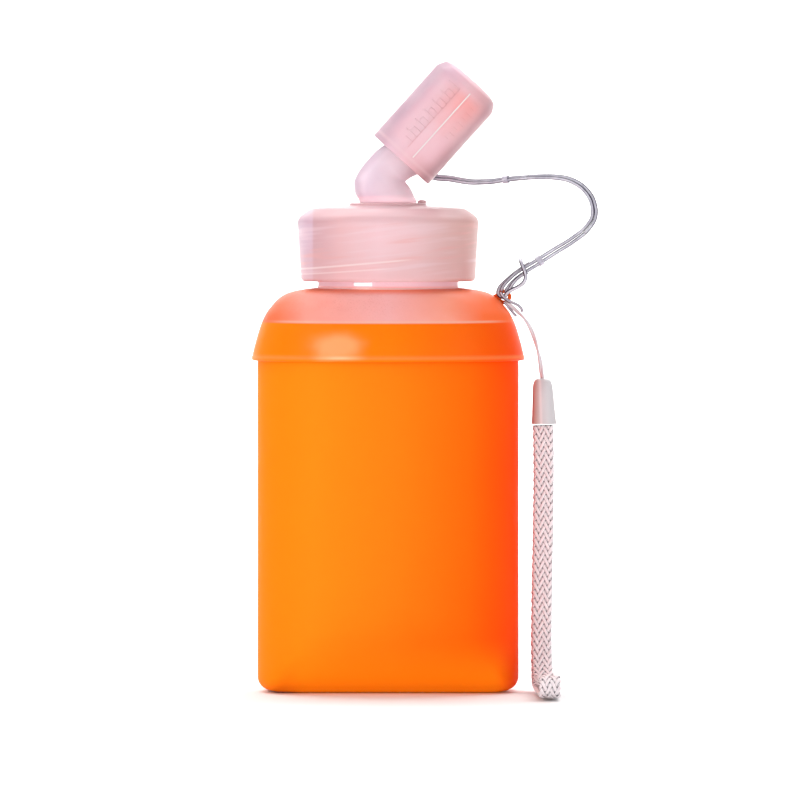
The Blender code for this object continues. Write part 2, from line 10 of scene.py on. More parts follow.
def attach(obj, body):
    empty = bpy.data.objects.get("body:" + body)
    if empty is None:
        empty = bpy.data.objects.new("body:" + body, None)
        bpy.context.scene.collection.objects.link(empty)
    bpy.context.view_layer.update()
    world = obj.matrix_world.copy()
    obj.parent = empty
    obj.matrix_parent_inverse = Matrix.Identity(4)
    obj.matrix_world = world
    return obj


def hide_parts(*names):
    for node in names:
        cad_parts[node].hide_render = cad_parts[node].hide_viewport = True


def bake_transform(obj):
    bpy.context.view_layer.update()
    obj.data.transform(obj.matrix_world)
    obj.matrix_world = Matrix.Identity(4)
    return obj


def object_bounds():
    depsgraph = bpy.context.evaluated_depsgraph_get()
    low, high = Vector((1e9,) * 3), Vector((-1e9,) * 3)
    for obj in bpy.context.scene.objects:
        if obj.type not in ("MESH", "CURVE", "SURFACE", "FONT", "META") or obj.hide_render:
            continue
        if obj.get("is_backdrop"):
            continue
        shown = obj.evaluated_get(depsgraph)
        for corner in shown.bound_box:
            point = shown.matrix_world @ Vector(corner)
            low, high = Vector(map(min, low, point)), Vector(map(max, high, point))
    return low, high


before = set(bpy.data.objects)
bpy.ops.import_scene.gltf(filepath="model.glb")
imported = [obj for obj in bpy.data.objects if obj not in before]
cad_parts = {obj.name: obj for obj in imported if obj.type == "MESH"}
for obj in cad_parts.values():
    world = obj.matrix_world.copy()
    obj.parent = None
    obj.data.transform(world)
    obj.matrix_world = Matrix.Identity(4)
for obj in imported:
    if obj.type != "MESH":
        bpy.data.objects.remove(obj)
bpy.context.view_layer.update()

MM = 0.001
TURN = 2 * math.pi
TILT = math.radians(42)
SPOUT_WAY = Vector((math.sin(TILT), 0, math.cos(TILT)))
CAP_MOUTH = Vector((4.7, 0, 196.1)) * MM
LUG_EYE = Vector((42.9, 0, 145.5)) * MM
THREAD_LEAD = 14.0
THREAD_PHASE = 0.06

scene = bpy.context.scene


# ---- Mesh tools ------------------------------------------------------------------------------


def add_object(name, mesh, material, smooth=True):
    obj = bpy.data.objects.new(name, mesh)
    scene.collection.objects.link(obj)
    mesh.materials.append(material)
    if smooth:
        mesh.polygons.foreach_set("use_smooth", [True] * len(mesh.polygons))
    return obj


def mesh_of(bm, name):
    """The mesh that a bmesh holds; the bmesh is freed."""
    mesh = bpy.data.meshes.new(name)
    bm.to_mesh(mesh)
    bm.free()
    return mesh


def skin(name, rings, closed_start=False, closed_end=False, joined_ends=False):
    """A skin over a list of equal rings of points, with its faces turned outwards."""
    bm = bmesh.new()
    loops = [[bm.verts.new(p) for p in ring] for ring in rings]
    count = len(loops[0])
    pairs = list(zip(loops, loops[1:]))
    if joined_ends:
        pairs.append((loops[-1], loops[0]))
    for low, high in pairs:
        for i in range(count):
            j = (i + 1) % count
            bm.faces.new((low[i], low[j], high[j], high[i]))
    if closed_start:
        bm.faces.new(loops[0][::-1])
    if closed_end:
        bm.faces.new(loops[-1])
    bmesh.ops.recalc_face_normals(bm, faces=bm.faces)
    return mesh_of(bm, name)


def turned(name, outline, segments=96, where=Matrix.Identity(4), joined=True):
    """Turns an outline of (radius, height) in millimetres about the Z axis of a frame."""
    rings = []
    for radius, height in outline:
        ring = []
        for i in range(segments):
            angle = TURN * i / segments
            point = Vector((radius * math.cos(angle), radius * math.sin(angle), height)) * MM
            ring.append(where @ point)
        rings.append(ring)
    return skin(name, rings, not joined, not joined, joined)


def rounded_outline(corners, radius, steps=4, closed=True):
    """Replaces each corner of an outline with a small fillet."""
    out = []
    count = len(corners)
    for k, corner in enumerate(corners):
        if not closed and k in (0, count - 1):
            out.append(corner)
            continue
        here = Vector(corner)
        before = Vector(corners[k - 1])
        after = Vector(corners[(k + 1) % count])
        reach = min(radius, (before - here).length * 0.45, (after - here).length * 0.45)
        start = here + (before - here).normalized() * reach
        end = here + (after - here).normalized() * reach
        for step in range(steps + 1):
            t = step / steps
            p = start * (1 - t) ** 2 + here * 2 * t * (1 - t) + end * t * t
            out.append((p.x, p.y))
    return out


def axis_frame(direction, origin):
    z = direction.normalized()
    x = Vector((0, 1, 0)).cross(z).normalized()
    y = z.cross(x)
    placed = Matrix((x, y, z)).transposed().to_4x4()
    placed.translation = origin
    return placed


def smooth_line(points, spacing, unit=MM):
    """Points at even spacing along one smooth curve through the given points."""
    knots = [Vector(p) * unit for p in points]
    knots = [2 * knots[0] - knots[1]] + knots + [2 * knots[-1] - knots[-2]]
    dense = []
    for k in range(1, len(knots) - 2):
        a, b, c, d = knots[k - 1 : k + 3]
        for step in range(24):
            t = step / 24
            p = 2 * b + (c - a) * t + (2 * a - 5 * b + 4 * c - d) * t * t
            dense.append((p + (3 * b - a - 3 * c + d) * t ** 3) / 2)
    dense.append(knots[-2].copy())
    lengths = [0.0]
    for p, q in zip(dense, dense[1:]):
        lengths.append(lengths[-1] + (q - p).length)
    count = max(2, round(lengths[-1] / spacing))
    line, k = [], 0
    for i in range(count + 1):
        wanted = lengths[-1] * i / count
        while k < len(dense) - 2 and lengths[k + 1] < wanted:
            k += 1
        part = (wanted - lengths[k]) / max(lengths[k + 1] - lengths[k], 1e-9)
        line.append(dense[k].lerp(dense[k + 1], part))
    return line


def line_length(line):
    return sum((q - p).length for p, q in zip(line, line[1:]))


def line_frames(line, side_hint=Vector((0, 1, 0))):
    """(place, tangent, side, up) at each point of a line, with no sudden twist."""
    frames, side = [], side_hint
    for k, place in enumerate(line):
        tangent = (line[min(k + 1, len(line) - 1)] - line[max(k - 1, 0)]).normalized()
        side = (side - tangent * side.dot(tangent)).normalized()
        frames.append((place, tangent, side, tangent.cross(side)))
    return frames


def tube_rings(line, radius, sides):
    """Rings of a tube along a line; radius is a number or a function of the share of the length."""
    rings = []
    frames = line_frames(line)
    for k, (place, _, side, up) in enumerate(frames):
        share = k / (len(frames) - 1)
        r = radius(share) if callable(radius) else radius
        ring = []
        for i in range(sides):
            angle = TURN * i / sides
            ring.append(place + side * (r * math.cos(angle)) + up * (r * math.sin(angle)))
        rings.append(ring)
    return rings


def merged(name, meshes):
    """One mesh of several closed shells."""
    bm = bmesh.new()
    for mesh in meshes:
        bm.from_mesh(mesh)
        bpy.data.meshes.remove(mesh)
    return mesh_of(bm, name)


def wrap_strand(bm, layer, rings, map_spot):
    """Closes faces over one strand's rings; map_spot turns steps round and along it into its map."""
    loops = [[bm.verts.new(p) for p in ring] for ring in rings]
    sides = len(rings[0])
    for k, (low, high) in enumerate(zip(loops, loops[1:])):
        for i in range(sides):
            j = (i + 1) % sides
            face = bm.faces.new((low[i], low[j], high[j], high[i]))
            spots = ((i, k), (i + 1, k), (i + 1, k + 1), (i, k + 1))
            for loop, (around, along) in zip(face.loops, spots):
                loop[layer].uv = map_spot(around, along)
    bm.faces.new(loops[0][::-1])
    bm.faces.new(loops[-1])


def tube(name, line, radius, sides=12):
    """A closed tube whose map runs once round it in U and in centimetres along it in V."""
    bm = bmesh.new()
    layer = bm.loops.layers.uv.new("length")
    spacing = line_length(line) / (len(line) - 1) / 0.01
    rings = tube_rings(line, radius, sides)
    wrap_strand(bm, layer, rings, lambda around, along: (around / sides, along * spacing))
    bmesh.ops.recalc_face_normals(bm, faces=bm.faces)
    return mesh_of(bm, name)


# ---- Shader tools ------------------------------------------------------------------------------


class Port:
    """A shader socket that takes part in arithmetic on values."""

    def __init__(self, graph, socket):
        self.graph, self.socket = graph, socket

    def math(self, operation, *others):
        return self.graph.node("ShaderNodeMath", {"operation": operation}, self, *others)

    def __add__(self, other):
        return self.math("ADD", other)

    def __mul__(self, other):
        return self.math("MULTIPLY", other)

    def __sub__(self, other):
        return self.math("SUBTRACT", other)

    def __truediv__(self, other):
        return self.math("DIVIDE", other)

    def __rsub__(self, other):
        return self.graph.node("ShaderNodeMath", {"operation": "SUBTRACT"}, other, self)

    def between(self, low, high):
        """0 below low, 1 above high, smooth in between."""
        settings = {"interpolation_type": "SMOOTHSTEP"}
        return self.graph.node("ShaderNodeMapRange", settings, self, low, high, 0.0, 1.0)

    __radd__ = __add__
    __rmul__ = __mul__


def abs_of(value):
    return value.math("ABSOLUTE")


class Finish:
    """One material: a Principled shader and the nodes that feed it."""

    def __init__(self, name, **uniform):
        self.material = bpy.data.materials.new(name)
        self.material.use_nodes = True
        self.tree = self.material.node_tree
        self.shader = self.tree.nodes["Principled BSDF"]
        for key, value in uniform.items():
            self.shader.inputs[key.replace("_", " ")].default_value = value

    def node(self, kind, settings=None, *values, output=0, **named):
        made = self.tree.nodes.new(kind)
        for key, value in (settings or {}).items():
            if key == "stops":
                self.set_stops(made.color_ramp, value)
            else:
                setattr(made, key, value)
        for key, value in list(enumerate(values)) + list(named.items()):
            place = made.inputs[key.replace("_", " ") if isinstance(key, str) else key]
            self.feed(place, value)
        return Port(self, made.outputs[output])

    def feed(self, place, value):
        if isinstance(value, Port):
            self.tree.links.new(value.socket, place)
        elif isinstance(value, (tuple, list)) and len(place.default_value) == 4:
            place.default_value = (*value[:3], 1.0)
        else:
            place.default_value = value

    @staticmethod
    def set_stops(ramp, stops):
        while len(ramp.elements) < len(stops):
            ramp.elements.new(0.5)
        for element, (position, colour) in zip(ramp.elements, stops):
            element.position = position
            element.color = (*colour, 1.0)

    def place(self):
        """Where a point of the piece is, in metres, in the piece's own space."""
        return self.node("ShaderNodeTexCoord", output=3)

    def axes(self):
        place = self.place()
        split = self.tree.nodes.new("ShaderNodeSeparateXYZ")
        self.tree.links.new(place.socket, split.inputs[0])
        return [Port(self, socket) for socket in split.outputs]

    def vector(self, x, y, z):
        return self.node("ShaderNodeCombineXYZ", None, x, y, z)

    def hump(self, value, centre, half):
        """1 at the centre, falling smoothly to 0 at half a width away."""
        return 1 - abs_of(value - centre).between(0.0, half)

    def noise(self, scale, detail=3.0, stretch=None):
        where = self.place()
        if stretch:
            settings = {"vector_type": "POINT"}
            where = self.node("ShaderNodeMapping", settings, where, Scale=stretch)
        return self.node("ShaderNodeTexNoise", None, Vector=where, Scale=scale, Detail=detail)

    def ramp(self, factor, *stops):
        return self.node("ShaderNodeValToRGB", {"stops": stops}, factor)

    def blend(self, factor, first, second):
        mix = self.tree.nodes.new("ShaderNodeMix")
        mix.data_type = "RGBA"
        self.feed(mix.inputs[0], factor)
        self.feed(mix.inputs[6], first)
        self.feed(mix.inputs[7], second)
        return Port(self, mix.outputs[2])

    def set(self, name, value):
        self.feed(self.shader.inputs[name], value)

    def bump(self, height, strength, distance):
        relief = self.node("ShaderNodeBump", None, Strength=strength, Distance=distance, Height=height)
        self.set("Normal", relief)


# ---- Camera, lights and floor ------------------------------------------------------------------

camera_data = bpy.data.cameras.new("camera")
camera = bpy.data.objects.new("camera", camera_data)
scene.collection.objects.link(camera)
scene.camera = camera
LOOK_AT = Vector((4.4, 0, 107.3)) * MM
DISTANCE = 3.0
ELEVATION = math.radians(1.6)
SENSOR = 36
VIEW_WIDTH = 0.296
away = Vector((0, -math.cos(ELEVATION), math.sin(ELEVATION)))
camera.location = LOOK_AT + away * DISTANCE
camera.rotation_mode = "QUATERNION"
camera.rotation_quaternion = (-away).to_track_quat("-Z", "Y")
camera_data.sensor_width = SENSOR
camera_data.lens = SENSOR * DISTANCE / VIEW_WIDTH
camera_data.clip_end = 50

scene.view_settings.view_transform = "Standard"

world = bpy.data.worlds.new("studio")
scene.world = world
world.use_nodes = True
world.node_tree.nodes["Background"].inputs[0].default_value = (1.0, 1.0, 1.0, 1)
world.node_tree.nodes["Background"].inputs[1].default_value = 0.45


def softbox(name, place, target, width, height, power, colour=(1, 1, 1)):
    data = bpy.data.lights.new(name, "AREA")
    data.shape = "RECTANGLE"
    data.size, data.size_y = width, height
    data.energy = power
    data.color = colour
    lamp = bpy.data.objects.new(name, data)
    scene.collection.objects.link(lamp)
    lamp.location = place
    lamp.rotation_euler = (Vector(target) - Vector(place)).to_track_quat("-Z", "Y").to_euler()
    return lamp


softbox("key_left", (-1.0, -1.1, 0.5), (0, 0, 0.11), 0.6, 1.1, 8)
softbox("fill_right", (1.1, -1.2, 0.3), (0, 0, 0.11), 0.7, 1.0, 4.5)
softbox("front_low", (0.1, -1.9, 0.02), (0, 0, 0.13), 1.6, 0.5, 8.5)
softbox("top", (0, -0.2, 1.5), (0, 0, 0.1), 1.2, 1.2, 3)
softbox("back_wash", (0.0, 1.1, 1.9), (0, 1.9, 0.0), 4.5, 1.6, 110)
softbox("far_wash", (0.0, 2.6, 2.6), (0, 4.4, 0.3), 7.0, 2.0, 220)

# Paper floor that turns up into a wall far behind, as (depth, height) in metres
FLOOR_ROWS = [(y, 0) for y in (-5.0, -1.2, 0.1, 0.5, 0.9, 1.2, 2.4, 3.4)]
FLOOR_ROWS += [(4.2, 0.1), (4.8, 0.5), (5.0, 1.2), (5.05, 4.0)]
FLOOR_HALF = 6.0
FLOOR_GAP = 0.0006
bm = bmesh.new()
rows = []
for y, z in FLOOR_ROWS:
    ends = (-FLOOR_HALF, FLOOR_HALF)
    rows.append([bm.verts.new((x, y, z - FLOOR_GAP)) for x in ends])
for near, far in zip(rows, rows[1:]):
    bm.faces.new((near[0], near[1], far[1], far[0]))
floor_finish = Finish("floor_paper", Roughness=0.9)
floor_finish.set("Base Color", (0.86, 0.86, 0.86))
floor = add_object("floor", mesh_of(bm, "floor"), floor_finish.material)
floor.modifiers.new("smooth", "SUBSURF").levels = 3
floor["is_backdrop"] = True

# ---- Finishes ----------------------------------------------------------------------------------


def silicone_orange():
    """Matt silicone, lighter yellow-orange to the left and darker red to the right as painted light and shade,
    with a painted glow of light in the middle of the foot.
    """
    made = Finish("bag_silicone", Roughness=0.55, Subsurface_Weight=0.08, Subsurface_Scale=0.006)
    made.shader.inputs["Subsurface Radius"].default_value = (1.0, 0.3, 0.1)
    made.shader.inputs["Specular IOR Level"].default_value = 0.03
    x, y, z = made.axes()
    # Painted light and shade: lighter yellow-orange to the left, darker red to the right.
    across = (x * 10.0 + 0.5) + (made.noise(14.0, 2.0) - 0.5) * 0.08
    colour = made.ramp(
        across,
        (0.02, (1.0, 0.205, 0.002)),
        (0.22, (1.0, 0.23, 0.006)),
        (0.5, (1.0, 0.19, 0.005)),
        (0.8, (1.0, 0.125, 0.002)),
        (0.98, (0.99, 0.052, 0.001)),
    )
    # Painted light: the middle of the foot is made lighter and glows by emission.
    foot = (1 - z.between(0.001, 0.022)) * (1 - abs_of(x - 0.004).between(0.034, 0.044))
    made.set("Base Color", made.blend(foot * 0.8, colour, (1.0, 0.20, 0.005)))
    made.set("Emission Color", made.blend(foot, (0.0, 0.0, 0.0), (0.12, 0.05, 0.0)))
    made.set("Emission Strength", 1.0)
    made.set("Roughness", 0.5 + made.noise(60.0, 3.0) * 0.14)
    made.bump(made.noise(900.0, 2.0), 0.08, 0.0002)
    return made.material


def milky(name, clear, rough, specular=0.3):
    """A soft see-through plastic, not yet coloured."""
    made = Finish(name, Transmission_Weight=clear, IOR=1.4, Subsurface_Weight=0.2, Subsurface_Scale=0.003)
    made.shader.inputs["Specular IOR Level"].default_value = specular
    made.shader.inputs["Subsurface Radius"].default_value = (1.0, 0.6, 0.6)
    made.set("Roughness", rough + (made.noise(120.0, 3.0) - 0.5) * 0.12)
    return made


def frosted_shoulder():
    """The shoulder: orange where the bag lies behind it, rosy and paler over the hollow, with painted light
    and shade: its skirt darker to the right, a painted highlight on the skirt's front, painted highlight lines
    at its lip, at the bag's top edge and at the neck's foot, and a painted glow on the neck.
    """
    made = milky("frosted_shoulder", 0.12, 0.4, 0.08)
    x, y, z = made.axes()
    left = made.ramp(
        x * 10.0 + 0.5,
        (0.03, (1.0, 0.11, 0.012)),
        (0.10, (1.0, 0.18, 0.08)),
        (0.2, (0.96, 0.33, 0.26)),
        (0.5, (0.90, 0.42, 0.41)),
        (0.72, (0.96, 0.33, 0.23)),
        (0.85, (1.0, 0.17, 0.05)),
        (0.97, (1.0, 0.11, 0.004)),
    )
    haze = made.noise(55.0, 3.0, (1.0, 1.0, 2.2)).between(0.35, 0.7)
    dome = made.blend(haze * (1 - abs_of(x).between(0.02, 0.036)) * 0.25, left, (0.98, 0.52, 0.50))
    crown = z.between(0.1462, 0.1482) * (1 - abs_of(x).between(0.03, 0.04))
    dome = made.blend(crown * 0.75, dome, (1.0, 0.22, 0.10))
    # The skirt: the bag's orange behind it, darker and redder to the right as painted shade.
    band = made.ramp(
        x * 10.0 + 0.5,
        (0.05, (1.0, 0.215, 0.0)),
        (0.5, (1.0, 0.205, 0.0)),
        (0.8, (1.0, 0.13, 0.0)),
        (1.0, (0.99, 0.06, 0.0)),
    )
    # Painted highlight: a soft reflection of the key light on the front of the skirt.
    ripple = (made.noise(70.0, 2.0) - 0.5) * 0.004
    glow = made.hump(x + ripple * 3.0, -0.0190, 0.015) * made.hump(z + ripple, 0.1275, 0.0075)
    front = 1 - y.between(-0.01, 0.0)
    band = made.blend(glow.between(0.0, 0.85) * front * 0.6, band, (1.0, 0.50, 0.24))
    # Painted highlight lines along the skirt's lip, brightest at the front left.
    rim = made.hump(z, 0.1236, 0.0012)
    band = made.blend(rim * 0.35, band, (1.0, 0.36, 0.12))
    band = made.blend(rim * made.hump(x, -0.018, 0.012) * front * 0.8, band, (1.0, 0.62, 0.34))
    # Painted highlight: a pale line where the bag's top edge catches the light.
    line = made.hump(z, 0.1367, 0.0007) * (1 - abs_of(x).between(0.036, 0.046))
    colour = made.blend(z.between(0.1358, 0.1366), band, dome)
    colour = made.blend(line * 0.65, colour, (0.94, 0.50, 0.38))
    neck = z.between(0.1486, 0.1492)
    neck_colour = made.blend(z.between(0.1492, 0.1500), (0.94, 0.48, 0.44), (0.90, 0.64, 0.70))
    colour = made.blend(neck, colour, neck_colour)
    # Painted highlight: a cream line along the fillet at the neck's foot.
    painted_fillet_highlight = made.hump(z, 0.1487, 0.0005) * (1 - (x * x + y * y).between(0.00072, 0.00076))
    colour = made.blend(painted_fillet_highlight * 0.9, colour, (1.0, 0.86, 0.74))
    made.set("Base Color", colour)
    # Painted light: the neck and that line glow by emission.
    lit = made.blend(neck + painted_fillet_highlight * (1 - neck), (0.0, 0.0, 0.0), (0.17, 0.10, 0.11))
    made.set("Emission Color", lit)
    made.set("Emission Strength", 1.0)
    drops = made.node("ShaderNodeTexVoronoi", {"feature": "F1"}, Vector=made.place(), Scale=1100.0)
    where = z.between(0.136, 0.142) * (1 - x.between(-0.012, 0.02))
    made.bump(made.noise(700.0) * 0.5 + (1 - drops.between(0.1, 0.6)) * where, 0.3, 0.0003)
    return made.material


def frosted_lid():
    """Milky pink, darker lilac at the edges and darker salmon to the right as painted shade, with a painted
    darker top and painted highlight lines low on the front; the threads behind it show as sloping streaks.
    """
    made = milky("frosted_lid", 0.22, 0.36, 0.3)
    x, y, z = made.axes()
    # Painted shade: darker lilac towards both edges, darker salmon towards the right.
    base = made.ramp(
        x * 14.0 + 0.5,
        (0.025, (0.44, 0.25, 0.33)),
        (0.05, (0.62, 0.40, 0.50)),
        (0.108, (0.72, 0.49, 0.59)),
        (0.118, (0.66, 0.38, 0.42)),
        (0.25, (0.82, 0.50, 0.52)),
        (0.45, (0.89, 0.60, 0.64)),
        (0.65, (0.84, 0.56, 0.58)),
        (0.85, (0.74, 0.45, 0.43)),
        (0.95, (0.66, 0.36, 0.33)),
        (0.98, (0.46, 0.24, 0.24)),
    )
    low = 1 - z.between(0.153, 0.168)
    base = made.blend(low * 0.4, base, (0.80, 0.44, 0.44))
    # Painted shade: the top is darkened.
    base = made.blend(z.between(0.1725, 0.1770) * 0.5, base, (0.74, 0.44, 0.47))
    slope = z - x * 0.10 + (made.noise(24.0, 2.0) - 0.5) * 0.002
    drift = made.vector(x * 26.0, y * 26.0, slope * 420.0)
    streaks = made.node("ShaderNodeTexNoise", None, Vector=drift, Scale=1.0, Detail=2.0)
    wall = z.between(0.1525, 0.156) * (1 - z.between(0.171, 0.1745))
    base = made.blend(streaks.between(0.50, 0.70) * wall * 0.4, base, (0.90, 0.67, 0.72))
    base = made.blend((1 - streaks.between(0.32, 0.46)) * wall * 0.5, base, (0.82, 0.42, 0.41))
    # Painted highlights: two pale sloping lines low on the front.
    painted_highlights = made.hump(z - x * 0.09, 0.1588, 0.0006) * (1 - x.between(0.002, 0.012))
    painted_highlights = painted_highlights + made.hump(z - x * 0.07, 0.1562, 0.0005) * (1 - x.between(-0.004, 0.004)) * 0.7
    made.set("Base Color", made.blend(painted_highlights * 0.6, base, (1.0, 0.84, 0.84)))
    made.bump(streaks * 0.8 + made.noise(700.0) * 0.3, 0.2, 0.0003)
    return made.material


def frosted_spout():
    made = milky("frosted_spout", 0.22, 0.36, 0.3)
    x, y, z = made.axes()
    cos, sin = math.cos(TILT), math.sin(TILT)
    across = (x - CAP_MOUTH.x) * cos - (z - CAP_MOUTH.z) * sin
    # Painted light: lighter and pinker to the right, making up for the cap's shadow.
    lean = x.between(-0.012, 0.010)
    colour = made.blend(lean, (0.84, 0.68, 0.80), (0.99, 0.78, 0.84))
    cloud = made.noise(110.0, 3.0).between(0.35, 0.7)
    colour = made.blend(cloud * 0.4, colour, (1.0, 0.84, 0.91))
    # Painted shade: the left flank darkens.
    upper = z.between(0.187, 0.192)
    flank = (1 - across.between(-0.0085, -0.0055)) * upper + (1 - x.between(-0.0128, -0.0085)) * (1 - upper)
    colour = made.blend(flank * 0.75, colour, (0.56, 0.40, 0.50))
    # Painted light: the inner flank, on the right, is made lighter.
    inner = across.between(0.0045, 0.0075) * upper + x.between(0.0065, 0.0095) * (1 - upper)
    colour = made.blend(inner * 0.5, colour, (1.0, 0.80, 0.86))
    # Painted light: the foot is made lighter and glows by emission.
    foot = 1 - z.between(0.181, 0.1835)
    colour = made.blend(foot * 0.5, colour, (0.96, 0.70, 0.74))
    made.set("Base Color", colour)
    glow = made.blend(foot, (0.0, 0.0, 0.0), (0.22, 0.13, 0.14))
    made.set("Emission Color", glow)
    made.set("Emission Strength", 1.0)
    made.bump(made.noise(160.0, 3.0), 0.12, 0.0006)
    return made.material


def frosted_cap():
    """Milky pink, darker towards both edges and darker salmon to the right as painted shade; the soft
    mouthpiece glows coral through the middle.
    """
    made = milky("frosted_cap", 0.25, 0.34, 0.3)
    x, y, z = made.axes()
    cos, sin = math.cos(TILT), math.sin(TILT)
    along = (x - CAP_MOUTH.x) * sin + (z - CAP_MOUTH.z) * cos
    across = (x - CAP_MOUTH.x) * cos - (z - CAP_MOUTH.z) * sin
    # Painted shade: darker lilac at the left edge, darker salmon towards the right edge.
    wall = made.ramp(
        across * 35.0 + 0.5,
        (0.11, (0.58, 0.36, 0.45)),
        (0.22, (0.78, 0.50, 0.60)),
        (0.32, (0.86, 0.56, 0.65)),
        (0.5, (0.94, 0.60, 0.66)),
        (0.70, (0.86, 0.50, 0.54)),
        (0.80, (0.76, 0.43, 0.46)),
        (0.89, (0.58, 0.31, 0.35)),
    )
    reach = along.between(0.001, 0.008) * (1 - along.between(0.0315, 0.0365))
    inside = (1 - abs_of(across - 0.0002).between(0.0065, 0.0120)) * reach
    height = (along + (made.noise(120.0, 2.0) - 0.5) * 0.012).between(0.012, 0.033)
    hot = height * (across + 0.003).between(-0.006, 0.006)
    coral_glow = made.blend(hot, (1.0, 0.62, 0.69), (1.0, 0.42, 0.41))
    colour = made.blend(inside * 0.85, wall, coral_glow)
    lip = made.hump(along, 0.0026, 0.0011)
    colour = made.blend(lip * 0.35, colour, (0.97, 0.68, 0.72))
    haze = made.noise(90.0, 3.0).between(0.35, 0.75)
    groove_reach = along.between(0.004, 0.006) * (1 - along.between(0.032, 0.034))
    groove = made.hump(across, -0.0012, 0.0004) * groove_reach
    colour = made.blend(haze * 0.2, colour, (1.0, 0.78, 0.82))
    made.set("Base Color", made.blend(groove * 0.4, colour, (0.86, 0.40, 0.44)))
    made.bump(made.noise(600.0), 0.1, 0.0002)
    return made.material


def grained(made, grain, first, second, relief, spread=None):
    """A plain finish that drifts between two tints, with a fine relief."""
    drift = made.noise(grain)
    if spread:
        drift = drift.between(*spread)
    made.set("Base Color", made.blend(drift, first, second))
    made.bump(made.noise(relief), 0.1, 0.0002)
    return made.material


def pale_line():
    """The raised line along the cap, painted pale as a highlight."""
    return grained(milky("cap_line", 0.1, 0.3), 200.0, (1.0, 0.84, 0.84), (1.0, 0.92, 0.90), 600.0)


def ring_plastic():
    made = Finish("ring_plastic", Roughness=0.4)
    return grained(made, 90.0, (0.95, 0.70, 0.66), (0.97, 0.78, 0.74), 700.0)


def coral_silicone():
    made = Finish(
        "mouthpiece_silicone", Roughness=0.45, Subsurface_Weight=0.1, Subsurface_Scale=0.005
    )
    return grained(made, 90.0, (0.98, 0.30, 0.28), (0.96, 0.36, 0.34), 800.0, (0.3, 0.7))


def seal_rubber():
    made = Finish("seal_silicone", Roughness=0.6)
    return grained(made, 150.0, (0.82, 0.76, 0.76), (0.88, 0.84, 0.84), 900.0)


def highlight_nib():
    """A small white pad on the neck, bright white and glowing by emission as a painted highlight."""
    made = Finish("highlight_nib", Roughness=0.4, Emission_Strength=0.5)
    made.set("Emission Color", (1.0, 1.0, 1.0))
    return grained(made, 150.0, (0.97, 0.96, 0.96), (1.0, 1.0, 1.0), 900.0)


def crimp_metal():
    made = Finish("crimp_metal", Metallic=1.0, Roughness=0.35)
    return grained(made, 300.0, (0.55, 0.55, 0.58), (0.72, 0.72, 0.75), 900.0)


orange = silicone_orange()
shoulder_finish = frosted_shoulder()
lid_finish = frosted_lid()
spout_finish = frosted_spout()
cap_finish = frosted_cap()
line_finish = pale_line()
ring_finish = ring_plastic()
coral = coral_silicone()
seal = seal_rubber()


def clear_line():
    """Clear soft cord: pale along its front, painted dark lines along its flanks as shade, painted highlight
    streaks between.
    """
    made = Finish(
        "tether_clear_plastic", Transmission_Weight=0.12, IOR=1.45, Roughness=0.12, Coat_Weight=0.3
    )
    where = made.node("ShaderNodeTexCoord", output=2)
    split = made.tree.nodes.new("ShaderNodeSeparateXYZ")
    made.tree.links.new(where.socket, split.inputs[0])
    u, v = Port(made, split.outputs[0]), Port(made, split.outputs[1])
    flank = abs_of((u * TURN).math("SINE"))
    drift = made.vector(u * 3.0, v * 2.2, 0.0)
    wander = made.node("ShaderNodeTexNoise", None, Vector=drift, Scale=1.0, Detail=2.0)
    body = made.blend(wander.between(0.35, 0.65), (0.27, 0.25, 0.33), (0.60, 0.58, 0.67))
    # Painted highlight: bright streaks between the front and the flanks.
    gleam = made.hump(flank + (wander - 0.5) * 0.4, 0.20, 0.20)
    body = made.blend(gleam * 0.6, body, (0.86, 0.85, 0.92))
    # Painted shade: dark lines along the flanks.
    dark = (flank + (wander - 0.5) * 0.35).between(0.50, 0.72)
    made.set("Base Color", made.blend(dark, body, (0.045, 0.03, 0.06)))
    made.bump(made.noise(500.0), 0.1, 0.0003)
    return made.material


clear = clear_line()


def clear_sleeve():
    """The same clear plastic on the short sleeves, in grey tints that drift at random."""
    made = Finish(
        "sleeve_clear_plastic", Transmission_Weight=0.15, IOR=1.45, Roughness=0.15, Coat_Weight=0.3
    )
    tint = made.noise(260.0).between(0.4, 0.6)
    made.set("Base Color", made.blend(tint, (0.40, 0.38, 0.47), (0.66, 0.64, 0.73)))
    made.bump(made.noise(500.0), 0.1, 0.0003)
    return made.material


sleeve_finish = clear_sleeve()


def yarn(name, pale, deep, groove, edge=None):
    """Spun yarn: fine filaments along its length, from the piece's own UV map, with painted shade on its
    flanks when an edge colour is given.
    """
    made = Finish(name, Roughness=0.75, Sheen_Weight=0.25, Sheen_Roughness=0.5)
    where = made.node("ShaderNodeTexCoord", output=2)
    lines = made.node("ShaderNodeMapping", {"vector_type": "POINT"}, where, Scale=(9.0, 0.5, 1.0))
    fibre = made.node("ShaderNodeTexNoise", None, Vector=lines, Scale=3.0, Detail=3.0)
    tint = made.noise(260.0, 2.0)
    colour = made.blend(fibre.between(0.3, 0.7), pale, deep)
    colour = made.blend(tint.between(0.45, 0.75) * 0.6, colour, groove)
    # Painted shade: the yarn darkens towards its two flanks, where neighbouring yarns meet.
    if edge:
        split = made.tree.nodes.new("ShaderNodeSeparateXYZ")
        made.tree.links.new(where.socket, split.inputs[0])
        flank = abs_of((Port(made, split.outputs[0]) * TURN).math("COSINE"))
        colour = made.blend(flank.between(0.84, 0.95) * 0.85, colour, edge)
    made.set("Base Color", colour)
    made.bump(fibre, 0.5, 0.0003)
    return made.material


strap_yarn = yarn(
    "strap_yarn", (0.95, 0.89, 0.90), (0.76, 0.66, 0.70), (0.92, 0.78, 0.80), (0.16, 0.11, 0.14)
)
